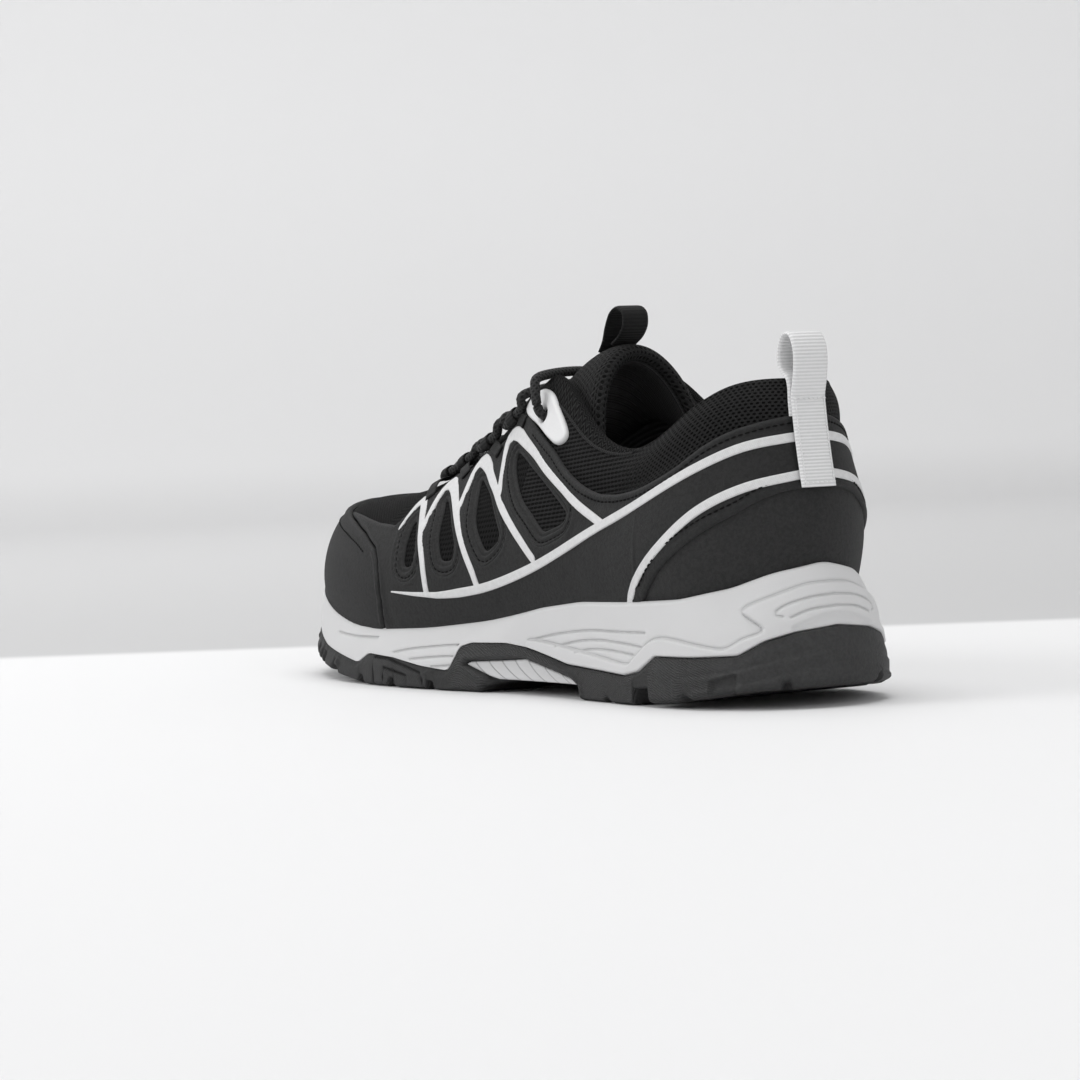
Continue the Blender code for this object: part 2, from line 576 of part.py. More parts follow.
def make_side_panels():
    seam = shift_outline(CAP_SEAM[:3], -SEAM_GAP, 0)
    counter = shift_outline(COUNTER_TOP[::-1], SEAM_GAP, SEAM_GAP)
    lower = lip_edge(counter[-1][0], seam[0][0])
    outline = lower + seam + list(THROAT_EDGE) + list(PANEL_TOP) + counter
    for side, y_low, y_high in (("left", SEAM_GAP, SIDE_REACH), ("right", -SIDE_REACH, -SEAM_GAP)):
        ends = (0, PANEL_END) if side == "left" else (TURN - PANEL_END, TURN)
        panel = shell(f"side_panel_{side}", *ends, "panel_black")
        cut(panel, prism(f"side_panel_{side}_outline", [outline, *WINDOWS], y_low, y_high), "INTERSECT")


def make_eyelet_tabs():
    s, v, radius = EYELET_HOLE
    turn = np.linspace(0, 2 * np.pi, 12, endpoint=False)
    for side, at, y_low, y_high in (("left", s, 0, SIDE_REACH), ("right", TURN - s, -SIDE_REACH, 0)):
        tab = shell(f"eyelet_tab_{side}", at - TAB_SPAN, at + TAB_SPAN, "tab_white")
        x, _, z = last(at, v)
        hole = list(zip(x + radius * np.cos(turn), z + radius * np.sin(turn)))
        outline = shift_outline(EYELET_TAB, x - last(s, v)[0], 0)
        cut(tab, prism(f"eyelet_tab_{side}_outline", [outline, hole], y_low, y_high), "INTERSECT")


def tongue_surface(half):
    # Arcs from side edge to side edge over the crown, moved along the normal by half a thickness.
    across = np.linspace(-1, 1, TONGUE_ACROSS + 1)
    rows = []
    for s, x, z, depth in TONGUE:
        arc = []
        for b in across:
            side = s if b > 0 else TURN - s
            edge = skin(side, TONGUE_EDGE_V, -depth)
            crown = np.array((x, swing(x), z))
            turn = abs(b) * np.pi / 2
            out = np.array((1 - np.cos(turn), np.sin(turn), 1 - np.cos(turn)))
            arc.append(crown + (edge - crown) * out)
        rows.append(arc)
    grid = np.array(rows)
    normal = np.cross(np.gradient(grid, axis=1), np.gradient(grid, axis=0))
    normal /= np.linalg.norm(normal, axis=-1, keepdims=True)
    thin = TONGUE_EDGE_HALF + (TONGUE_HALF - TONGUE_EDGE_HALF) * (1 - across ** 4)
    return grid + half * thin[None, :, None] * normal


def make_tongue():
    slab("tongue", tongue_surface(-1), tongue_surface(1), "mesh_black")


# Lace, lace loops and pull loops

def loop_frame(s):
    # Middle of a lace loop and the direction of the throat's edge towards the heel.
    middle = skin(s, LOOP_V, GAP + LOOP_STAND + LOOP_WALL + LOOP_INSIDE)
    back = last(s - 0.05, LOOP_V) - last(s + 0.05, LOOP_V)
    if s > TURN / 2:
        back = -back
    return middle, back / np.linalg.norm(back)


def make_lace_loops():
    for side in ("left", "right"):
        for number, station in enumerate(LOOP_STATIONS, 1):
            middle, back = loop_frame(station if side == "left" else TURN - station)
            bpy.ops.mesh.primitive_cylinder_add(vertices=9, radius=LOOP_INSIDE * MM, depth=LOOP_WIDTH * MM,
                                                end_fill_type="NOTHING")
            band = bpy.context.object
            band.name = f"lace_loop_{side}_{number}"
            band.location = (middle - MIDDLE) * MM
            band.rotation_euler = Vector(back).to_track_quat("Z", "Y").to_euler()
            thick = band.modifiers.new("wall", "SOLIDIFY")
            thick.thickness = LOOP_WALL * MM
            thick.offset = 1
            place(band, "webbing_black")


def lace_strand(first_side):
    # From the lowest loop on one side, crossing over at each gap between rows, to the top eyelet.
    route = []
    side = first_side
    for row, station in enumerate(LOOP_STATIONS):
        middle, back = loop_frame(on_side(station, side))
        if row:
            route.append(skin(on_side(station + LACE_EDGE, side), 1, LACE_LIFT))
        route += [middle - LACE_REACH * back, middle + LACE_REACH * back]
        route.append(skin(on_side(station - LACE_EDGE, side), 1, LACE_LIFT))
        if row + 1 < len(LOOP_STATIONS):
            corners = [loop_frame(on_side(k, e))[0] for k in LOOP_STATIONS[row:row + 2] for e in (1, -1)]
            route.append(np.mean(corners, axis=0) + (0, 0, LACE_CROWN))
        side = -side
    x, z = TOP_CROSSING
    route.append(np.array((x, swing(x), z)))
    route += [skin(on_side(s, side), v, lift) for s, v, lift in LACE_ENTRY]
    return tube(f"lace_strand_{first_side}", route, LACE_RADIUS)


def on_side(s, side):
    return s if side > 0 else TURN - s


def make_lace():
    front = [loop_frame(on_side(LOOP_STATIONS[0], side)) for side in (1, -1)]
    ends = [middle - LACE_REACH * back for middle, back in front]
    bar = tube("lace", [ends[0], np.mean(ends, axis=0) + (LACE_BOW, 0, LACE_CROWN), ends[1]], LACE_RADIUS)
    for side in (1, -1):
        cut(bar, place(lace_strand(side)), "UNION")
    place(bar, "lace_black")


def webbing_band(name, path, width, shift, curve, slot):
    # A strap across the shoe's middle line, along a side-view path, bowed across its width.
    across = shift + np.linspace(-width / 2, width / 2, 4)
    along = np.gradient(path, axis=0)
    normal = np.column_stack([-along[:, 1], along[:, 0]])
    normal /= np.linalg.norm(normal, axis=1, keepdims=True)
    faces = []
    for half in (-WEBBING / 2, WEBBING / 2):
        line = path + half * normal
        x = line[:, None, 0] + across[None, :] ** 2 / (2 * curve)
        y = np.broadcast_to(across + swing(path[:, :1]), x.shape)
        faces.append(np.stack([x, y, np.broadcast_to(line[:, 1:], x.shape)], -1))
    slab(name, faces[0], faces[1], slot)


def make_pull_loops():
    lift = OVERLAY_GAP + OVERLAY + 2 * GAP + WEBBING / 2
    sewn = skin(0.0, np.linspace(HEEL_LOOP_FOOT, HEEL_LOOP_HEAD, 6), lift)
    ring = smooth_path(list(sewn[-1:, ::2]) + list(HEEL_LOOP_RING), HEEL_LOOP_STEP)
    heel = np.concatenate([sewn[:-1, ::2], ring])
    webbing_band("heel_loop", heel, HEEL_LOOP_WIDTH, HEEL_SHIFT, HEEL_CURVE, "webbing_white")
    teardrop = smooth_path(TONGUE_LOOP_RING, TONGUE_LOOP_STEP)
    webbing_band("tongue_loop", teardrop, TONGUE_LOOP_WIDTH, TONGUE_SHIFT, TONGUE_CURVE, "webbing_black")


make_outsole()
make_arch_inserts()
make_midsole()
make_insole()
make_upper()
make_toe_cap()
make_heel_counter()
make_side_panels()
make_eyelet_tabs()
make_tongue()
make_lace_loops()
make_lace()
make_pull_loops()
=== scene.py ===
import bmesh
import bpy
import numpy as np
from mathutils import Matrix, Vector


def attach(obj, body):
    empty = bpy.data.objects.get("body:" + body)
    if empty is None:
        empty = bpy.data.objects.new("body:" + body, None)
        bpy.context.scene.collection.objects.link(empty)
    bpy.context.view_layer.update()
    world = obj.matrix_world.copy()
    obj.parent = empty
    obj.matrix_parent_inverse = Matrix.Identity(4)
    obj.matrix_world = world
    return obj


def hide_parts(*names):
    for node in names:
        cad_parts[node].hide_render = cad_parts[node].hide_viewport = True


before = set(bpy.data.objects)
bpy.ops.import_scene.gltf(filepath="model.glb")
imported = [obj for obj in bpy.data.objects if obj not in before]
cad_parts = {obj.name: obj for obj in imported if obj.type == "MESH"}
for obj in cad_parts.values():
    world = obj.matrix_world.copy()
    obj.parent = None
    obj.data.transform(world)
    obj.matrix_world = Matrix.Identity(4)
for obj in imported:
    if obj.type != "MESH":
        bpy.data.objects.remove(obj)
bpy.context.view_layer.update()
mm = 0.001
print("frame loaded:", len(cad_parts), "nodes")

# camera

eye = {"place": (-1067.7, 687.7, 103.9), "azimuth": 57.8, "pitch": 2.4, "roll": 2.1,
       "lens": 120, "sensor": 36, "clipStart": 0.05}


def makeCamera():
    # looks along the azimuth from +X's right side, tipped down by pitch, turned about its own axis by roll
    az, pitch, roll = np.radians([eye["azimuth"], eye["pitch"], eye["roll"]])
    ahead = np.array((np.sin(az) * np.cos(pitch), -np.cos(az) * np.cos(pitch), -np.sin(pitch)))
    level = np.cross((np.sin(az), -np.cos(az), 0), (0, 0, 1))
    upright = np.cross(level, ahead)
    right = level * np.cos(roll) - upright * np.sin(roll)
    up = level * np.sin(roll) + upright * np.cos(roll)
    data = bpy.data.cameras.new("photoCamera")
    data.lens = eye["lens"]
    data.sensor_width = eye["sensor"]
    data.clip_start = eye["clipStart"]
    camera = bpy.data.objects.new("photoCamera", data)
    matrix = np.eye(4)
    matrix[:3, :3] = np.column_stack([right, up, -ahead])
    matrix[:3, 3] = np.array(eye["place"]) * mm
    camera.matrix_world = Matrix(matrix.tolist())
    bpy.context.scene.collection.objects.link(camera)
    bpy.context.scene.camera = camera


makeCamera()

# the shoe's own surfaces, the same as the solids'

last = {   # x, half width and height at feather, bulge, mid, shoulder and top
    "heelBack":    ((-137, 0, 28), (-143.5, 0, 54), (-142, 0, 72), (-139, 0, 90), (-138, 0, 102.5)),
    "heelCorner":  ((-127, 21, 28), (-132, 24, 53.5), (-130.5, 22.5, 71.5), (-127.5, 19.5, 89.5),
                    (-127, 17.5, 102)),
    "heelSide":    ((-110, 33, 27), (-112, 36.5, 49), (-111, 34.5, 66), (-110, 31, 82), (-110, 28, 93.5)),
    "ankle":       ((-86, 34, 26), (-86, 38.5, 45), (-86, 37, 60), (-86, 34, 72), (-87, 31, 82.5)),
    "collarFront": ((-56, 34, 24), (-56, 38.5, 44), (-56, 37.5, 59), (-56, 33, 73), (-56, 28.5, 89)),
    "eyelet":      ((-26, 35, 22), (-26, 41, 42), (-26, 38, 61), (-26, 31, 82), (-28, 23, 107.5)),
    "instep":      ((12, 40, 19.5), (12, 46, 38), (10, 41, 58), (8, 30, 76), (2, 21.5, 95.5)),
    "vamp":        ((62, 46, 16), (62, 51, 34), (60, 46, 52), (54, 33, 66.5), (44, 18, 77)),
    "toeSide":     ((108, 40, 17), (110, 45, 33), (107, 42, 51), (97, 30, 64), (72, 13, 68)),
    "toeCorner":   ((133, 24, 20.5), (138, 28, 36), (135, 26, 54), (120, 19, 65), (82, 7, 66.5)),
    "toeTip":      ((144, 0, 23), (150, 0, 39), (147, 0, 57), (129, 0, 65.5), (84, 0, 66.5)),
}
form = {
    "innerAdvance": (0, 0, 0, 0, 1, 2, 5, 8, 5, 2, 0), "toeSwing": 9, "swingLength": 145, "gap": 0.3,
    "wall": 2.2, "collarWall": 5.6, "collarRise": (0.62, 0.9), "collarFade": (3.4, 4.7),
}
sole = {
    "plan": ((-151.5, 0), (-140, 27), (-114, 39.5), (-86, 40.5), (-54, 40), (-22, 42), (16, 48), (66, 53.5),
             (116, 47), (146, 29), (159, 0)),
    "deckInset": 7, "deckHeight": 8,
    # heights along the side: s, z
    "lip": ((0, 46), (0.6, 43), (1.1, 38.5), (1.9, 35), (2.7, 34), (3.9, 33), (4.7, 30.5), (5.6, 25.5),
            (6.4, 22), (7, 20.5), (7.4, 21.5), (7.8, 25), (8.2, 30), (9, 36), (10, 39)),
    "split": ((0, 25.8), (0.5, 24.2), (0.85, 21.5), (1.15, 17), (1.75, 16.3), (2.33, 16.3), (2.67, 11),
              (3, 9.2), (4.1, 11.2), (4.83, 16.1), (5.17, 17.4), (5.67, 17), (5.83, 15.5), (6, 6.8),
              (6.33, 8), (6.67, 10.4), (7, 11.3), (7.17, 7.5), (7.83, 12), (8.33, 18), (9, 20.5),
              (10, 22)),
    "tread": ((0, 6), (1, 4.5), (1.6, 2.2), (2.1, 0), (7.1, 0), (7.5, 2.5), (8.27, 8), (9, 12), (10, 15)),
}
turn = 2 * len(last) - 2


def cyclicSpline(knots):
    # smooth closed curve through evenly spaced knots: cubic pieces,
    # whose slopes solve s0 + 4 s1 + s2 = 3 (k2 - k0)
    knots = np.asarray(knots, float)
    count = len(knots)
    unit = np.eye(count)
    system = 4 * unit + np.roll(unit, 1, 0) + np.roll(unit, -1, 0)
    slopes = np.linalg.solve(system, 3 * (np.roll(knots, -1, 0) - np.roll(knots, 1, 0)))

    def at(s):
        s = np.asarray(s, float)
        low = np.floor(s).astype(int)
        t = (s - low)[..., None]
        a, b = low % count, (low + 1) % count
        return ((1 + 2 * t) * (1 - t) ** 2 * knots[a] + t * (1 - t) ** 2 * slopes[a]
                + t * t * (3 - 2 * t) * knots[b] + t * t * (t - 1) * slopes[b])
    return at


def ringShares(v):
    # share of each of the five rings at v, from a natural cubic through evenly spaced rings
    count = 5
    bend = np.zeros((count, count))
    system = np.eye(count)
    for k in range(1, count - 1):
        system[k, k - 1:k + 2] = (1, 4, 1)
        bend[k, k - 1:k + 2] = (6, -12, 6)
    curvature = np.linalg.solve(system, bend)
    place = np.clip(np.asarray(v, float), 0, 1) * (count - 1)
    low = np.minimum(place.astype(int), count - 2)
    t = (place - low)[..., None]
    unit = np.eye(count)
    return ((1 - t) * unit[low] + t * unit[low + 1]
            + ((1 - t) ** 3 - (1 - t)) * curvature[low] / 6 + (t ** 3 - t) * curvature[low + 1] / 6)


def swing(x):
    # the middle line's y, bending to the inner side with the square of x in front of the heel
    return -form["toeSwing"] * np.clip(np.asarray(x, float) / form["swingLength"], 0, 1) ** 2


def aroundShoe(rows):
    # rows of (x, half width, ...) from heel to toe become a closed loop: outer side there, inner side back
    rows = np.asarray(rows, float)
    advance = np.asarray(form["innerAdvance"], float) / 2
    sides = []
    for side in (1, -1):
        points = rows.copy()
        points[:, 0] -= side * advance
        points[:, 1] = swing(points[:, 0]) + side * rows[:, 1]
        sides.append(points)
    return np.concatenate([sides[0], sides[1][-2:0:-1]])


rings = np.stack([aroundShoe([rows[k] for rows in last.values()]) for k in range(5)], 1)
lastCurve = cyclicSpline(rings.reshape(turn, -1))
solePlan = cyclicSpline(aroundShoe(sole["plan"]))
planOutline = solePlan(np.linspace(0, turn, 800, endpoint=False))
middle = np.append((planOutline.min(0) + planOutline.max(0)) / 2, 0)   # lies over the frame's origin


def onLast(s, v):
    # a point of the upper: its five rings at s, shared out by v
    s, v = np.broadcast_arrays(np.asarray(s, float), np.asarray(v, float))
    return (ringShares(v)[..., None] * lastCurve(s).reshape(s.shape + (5, 3))).sum(-2)


def outward(s, v):
    # unit normal of the upper: up the upper crossed with along it
    step = 0.01
    along = onLast(s + step, v) - onLast(s - step, v)
    up = onLast(s, np.minimum(v + step, 1)) - onLast(s, np.maximum(v - step, 0))
    normal = np.cross(up, along)
    return normal / np.linalg.norm(normal, axis=-1, keepdims=True)


def skin(s, v, lift):
    # the upper moved along its normal by lift
    s, v, lift = np.broadcast_arrays(*[np.asarray(k, float) for k in (s, v, lift)])
    return onLast(s, v) + lift[..., None] * outward(s, v)


def fold(s):
    # s of the same place on the outer side
    s = np.asarray(s, float) % turn
    return np.minimum(s, turn - s)


def tableAt(table, s):
    # height from a table of (s, z), the same on both sides
    places, heights = np.transpose(table)
    return np.interp(fold(s), places, heights)


def curveTable(table, s):
    # height from a smooth curve through (s, z) points, with a straight ramp out of reach at its end
    path = np.concatenate([smoothPath(table["path"], 0.4), table["ramp"]])
    return np.interp(fold(s), path[:, 0], path[:, 1])


def softTable(table, s, blur=0.06):
    # the same with its corners eased: mean over a few places either side
    return np.mean([tableAt(table, s + k * blur) for k in (-1, -0.5, 0, 0.5, 1)], axis=0)


def vAtHeight(s, z):
    # halves the span of v until the upper's height there is z
    low, high = np.zeros(np.shape(s)), np.ones(np.shape(s))
    for _ in range(22):
        half = (low + high) / 2
        below = onLast(s, half)[..., 2] < z
        low = np.where(below, half, low)
        high = np.where(below, high, half)
    return (low + high) / 2


def soleWall(s, inset, z):
    # the sole's plan moved inwards by inset, at height z
    s, inset, z = np.broadcast_arrays(*[np.asarray(k, float) for k in (s, inset, z)])
    step = 0.01
    along = solePlan(s + step) - solePlan(s - step)
    inward = np.stack([along[..., 1], -along[..., 0]], -1)
    inward /= np.linalg.norm(inward, axis=-1, keepdims=True)
    return np.concatenate([solePlan(s) + inset[..., None] * inward, z[..., None]], -1)


def pathLength(path):
    # distance along a path at each of its points
    return np.append(0, np.cumsum(np.linalg.norm(np.diff(path, axis=0), axis=1)))


upperRound = 0.6   # v of the line that measures the way round the upper
lengthS = np.linspace(0, turn / 2, 2001)
lengthSole = pathLength(solePlan(lengthS))
lengthUpper = pathLength(onLast(lengthS, upperRound))


def alongSole(s):
    # distance round the sole from the heel back, the same on both sides
    return np.interp(fold(s), lengthS, lengthSole)


def alongUpper(s):
    # signed distance round the upper from the heel back, growing past the toe
    s = np.asarray(s, float)
    near = np.interp(np.abs(s), lengthS, lengthUpper)
    past = 2 * lengthUpper[-1] - np.interp(fold(s), lengthS, lengthUpper)
    return np.where(s < 0, -1, 1) * np.where(np.abs(s) > turn / 2, past, near)


def ease(t):
    # smooth step from 0 to 1
    t = np.clip(t, 0, 1)
    return t * t * (3 - 2 * t)


def smoothPath(points, step, closed=False):
    # even points on a curve through the given ones (Catmull-Rom)
    points = np.asarray(points, float)
    if closed:
        ends = points[-1:], points[:2]
    else:
        ends = 2 * points[:1] - points[1:2], 2 * points[-1:] - points[-2:-1]
    padded = np.concatenate([ends[0], points, ends[1]])
    t = np.linspace(0, 1, 16, endpoint=False)[:, None]
    dense = [0.5 * (2 * b + (c - a) * t + (2 * a - 5 * b + 4 * c - d) * t ** 2
                    + (3 * b - a - 3 * c + d) * t ** 3)
             for a, b, c, d in zip(padded, padded[1:], padded[2:], padded[3:])]
    dense = np.concatenate(dense + [padded[-2:-1]])
    length = pathLength(dense)
    even = np.linspace(0, length[-1], max(3, round(length[-1] / step) + 1))
    path = np.column_stack([np.interp(even, length, dense[:, k]) for k in range(dense.shape[1])])
    return path[:-1] if closed else path


def pathReach(points, path, widths=None):
    # distance to a polyline; with widths, half the width at the nearest place less the distance
    best = np.full(points.shape[:-1], -1e9 if widths is not None else 1e9)
    for k in range(len(path) - 1):
        a, span = path[k], path[k + 1] - path[k]
        share = np.clip(((points - a) @ span) / max(span @ span, 1e-9), 0, 1)
        away = np.linalg.norm(points - a - share[..., None] * span, axis=-1)
        if widths is None:
            best = np.minimum(best, away)
        else:
            best = np.maximum(best, (widths[k] + share * (widths[k + 1] - widths[k])) / 2 - away)
    return best


def inOutline(points, outline):
    # signed distance to a closed outline, positive inside
    ring = np.concatenate([outline, outline[:1]])
    inside = np.zeros(points.shape[:-1], bool)
    for a, b in zip(ring, ring[1:]):
        spans = (a[1] > points[..., 1]) != (b[1] > points[..., 1])
        rise = b[1] - a[1] if b[1] != a[1] else 1e-9
        inside ^= spans & (points[..., 0] < a[0] + (points[..., 1] - a[1]) * (b[0] - a[0]) / rise)
    return np.where(inside, 1, -1) * pathReach(points, ring)


def sideView(points):
    # x and z
    return points[..., ::2]


def direction(path):
    # unit tangent at each point
    along = np.gradient(path, axis=0)
    return along / np.linalg.norm(along, axis=-1, keepdims=True)


gridS, gridV = np.meshgrid(np.linspace(0, turn / 2, 500), np.linspace(0, 1, 160), indexing="ij")
gridView = sideView(onLast(gridS, gridV))


def findOnSide(view):
    # s and v of side-view points on the outer side: nearest grid point, then three Newton steps
    near = np.array([np.argmin(((gridView - p) ** 2).sum(-1)) for p in view])
    s, v = gridS.ravel()[near], gridV.ravel()[near]
    for _ in range(3):
        here = sideView(onLast(s, v))
        stepS, stepV = 0.01, -0.005
        ds = (sideView(onLast(s + stepS, v)) - here) / stepS
        dv = (sideView(onLast(s, v + stepV)) - here) / stepV
        miss = view - here
        det = ds[:, 0] * dv[:, 1] - ds[:, 1] * dv[:, 0]
        det = np.where(np.abs(det) < 1, 1e9, det)
        s = s + np.clip((miss[:, 0] * dv[:, 1] - miss[:, 1] * dv[:, 0]) / det, -0.1, 0.1)
        v = np.clip(v + np.clip((ds[:, 0] * miss[:, 1] - ds[:, 1] * miss[:, 0]) / det, -0.05, 0.05), 0, 1)
    return s, v


def offsetPath(path, offset):
    # a side-view path moved to its left by offset
    along = direction(path)
    return path + offset * np.column_stack([-along[:, 1], along[:, 0]])


# meshes


def quadGrid(rows, cols, wrapRows=False, wrapCols=False):
    # corner numbers of each cell of a grid, and the same unwrapped for the pattern's coordinates
    r, c = np.meshgrid(np.arange(rows - (not wrapRows)), np.arange(cols - (not wrapCols)), indexing="ij")
    corners = [(r.ravel(), c.ravel()), (r.ravel() + 1, c.ravel()), (r.ravel() + 1, c.ravel() + 1),
               (r.ravel(), c.ravel() + 1)]
    faces = np.stack([(i % rows) * cols + j % cols for i, j in corners], -1)
    return faces, np.stack([np.stack([j, i], -1) for i, j in corners], 1)


def ladder(start, count):
    # faces that close a ring of points by rungs from side to side
    half, end = count // 2, start + count
    rungs = [(start + k, start + k + 1, end - k - 1, end - k) for k in range(1, half - 1)]
    return rungs + [(start, start + 1, end - 1), (start + half - 1, start + half, start + half + 1)]


def makePiece(name, points, faces, finishes, uv=None, marks=None, closed=False, faceFinish=None, weld=0):
    # points in millimetres; uv is one pair per face corner, marks one number per point;
    # a closed piece has points nearer than weld merged and its faces turned outwards
    mesh = bpy.data.meshes.new(name)
    places = (np.asarray(points).reshape(-1, 3) - middle) * mm
    mesh.from_pydata(places.tolist(), [], [list(map(int, f)) for f in faces])
    if uv is not None:
        mesh.uv_layers.new(name="surface").data.foreach_set("uv", np.asarray(uv, np.float32).ravel())
    for mark, values in (marks or {}).items():
        layer = mesh.attributes.new(mark, "FLOAT", "POINT")
        layer.data.foreach_set("value", np.asarray(values, np.float32).ravel())
    for finish in finishes:
        mesh.materials.append(finish)
    if faceFinish is not None:
        mesh.polygons.foreach_set("material_index", np.asarray(faceFinish, np.int32))
    mesh.polygons.foreach_set("use_smooth", np.ones(len(mesh.polygons), bool))
    if closed:
        shaped = bmesh.new()
        shaped.from_mesh(mesh)
        if weld:
            bmesh.ops.remove_doubles(shaped, verts=shaped.verts, dist=weld * mm)
        bmesh.ops.recalc_face_normals(shaped, faces=shaped.faces)
        shaped.to_mesh(mesh)
        shaped.free()
    mesh.update()
    piece = bpy.data.objects.new(name, mesh)
    bpy.context.scene.collection.objects.link(piece)
    return piece


def dress(piece, slot, *nodes):
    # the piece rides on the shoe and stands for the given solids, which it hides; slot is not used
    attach(piece, "root")
    if nodes:
        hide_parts(*nodes)
    print("made", piece.name, len(piece.data.polygons), "faces")
    return piece


def trimSheet(surface, sLine, wLine, inside, lift, base):
    # a grid over (s, w) cut where inside = 0: points nearest the outline slide onto it along the
    # grid's lines, cells outside are dropped, and a skirt goes from the cut edge down to base
    s, w = np.meshgrid(sLine, wLine, indexing="ij")
    d = inside(s, w)
    halfCell = 0.501
    best = np.full(d.shape, halfCell)
    moved = np.zeros((2,) + d.shape)
    for axis, step in ((0, 1), (0, -1), (1, 1), (1, -1)):
        there = [np.roll(k, -step, axis) for k in (d, s, w)]
        border = [slice(None), slice(None)]
        border[axis] = -1 if step == 1 else 0
        there[0][tuple(border)] = d[tuple(border)]
        crossing = d * there[0] < 0
        share = np.where(crossing, d / np.where(crossing, d - there[0], 1), 1)
        nearer = share < best
        best = np.where(nearer, share, best)
        moved = np.where(nearer, share * np.stack([there[1] - s, there[2] - w]), moved)
    d = np.where(best < halfCell, 0, d).ravel()
    s, w = (s + moved[0]).ravel(), (w + moved[1]).ravel()
    index = np.arange(d.size).reshape(best.shape)
    a, b, c, e = [k.ravel() for k in (index[:-1, :-1], index[:-1, 1:], index[1:, 1:], index[1:, :-1])]
    swap = ((d[b] == 0) & (d[e] == 0))[:, None]
    cells = np.concatenate([np.where(swap, np.stack([a, b, e], -1), np.stack([a, b, c], -1)),
                            np.where(swap, np.stack([b, c, e], -1), np.stack([a, c, e], -1))])
    cells = cells[(d[cells].min(1) >= 0) & (d[cells].max(1) > 0)]
    edges = np.concatenate([cells[:, [0, 1]], cells[:, [1, 2]], cells[:, [2, 0]]])
    keys, back = edges[:, 0] * d.size + edges[:, 1], edges[:, 1] * d.size + edges[:, 0]
    rim = edges[~np.isin(keys, back)]
    used = np.unique(cells)
    number = np.zeros(d.size, int)
    number[used] = np.arange(len(used))
    rimPoints = np.unique(rim)
    rimNumber = np.zeros(d.size, int)
    rimNumber[rimPoints] = len(used) + np.arange(len(rimPoints))
    first, second = rim.T
    skirt = np.stack([number[second], number[first], rimNumber[first], rimNumber[second]], -1)
    both = np.concatenate([used, rimPoints])
    top = surface(s[used], w[used], lift(s[used], w[used], d[used]))
    low = surface(s[rimPoints], w[rimPoints], np.full(len(rimPoints), float(base)))
    return np.concatenate([top, low]), list(number[cells]) + list(skirt), s[both], w[both], d[both]


def cornerValues(faces, perPoint):
    # a point's values at each face corner
    return np.concatenate([perPoint[np.asarray(f)] for f in faces])


def tubeAlong(path, across, out, profile, wrap=False):
    # profile of (across, out) offsets, one for the whole path or one per point, carried along the path
    profile = np.asarray(profile, float)
    if profile.ndim == 2:
        profile = np.repeat(profile[:, None, :], len(path), 1)
    points = path[None] + profile[..., :1] * across[None] + profile[..., 1:] * out[None]
    faces, corners = quadGrid(len(profile), len(path), True, wrap)
    faces = list(faces)
    if not wrap:
        size = len(path)
        faces += [np.arange(len(profile)) * size, np.arange(len(profile)) * size + size - 1]
    return points, faces, corners


def tubeUv(path, profileLength, corners, caps):
    # u along the path, v round the profile, both in millimetres
    along = pathLength(path)
    along = np.append(along, 2 * along[-1] - along[-2])
    around = np.stack([along[corners[..., 0]], profileLength[corners[..., 1]]], -1)
    return np.concatenate([around.reshape(-1, 2), np.zeros((caps, 2))])


def joinParts(parts):
    # several (points, faces, uv) as one set
    points, faces, uvs, start = [], [], [], 0
    for part, partFaces, uv in parts:
        part = np.asarray(part).reshape(-1, 3)
        points.append(part)
        faces += [np.asarray(f) + start for f in partFaces]
        uvs.append(np.asarray(uv).reshape(-1, 2))
        start += len(part)
    return np.concatenate(points), faces, np.concatenate(uvs)


# finishes: shader maths as Python expressions


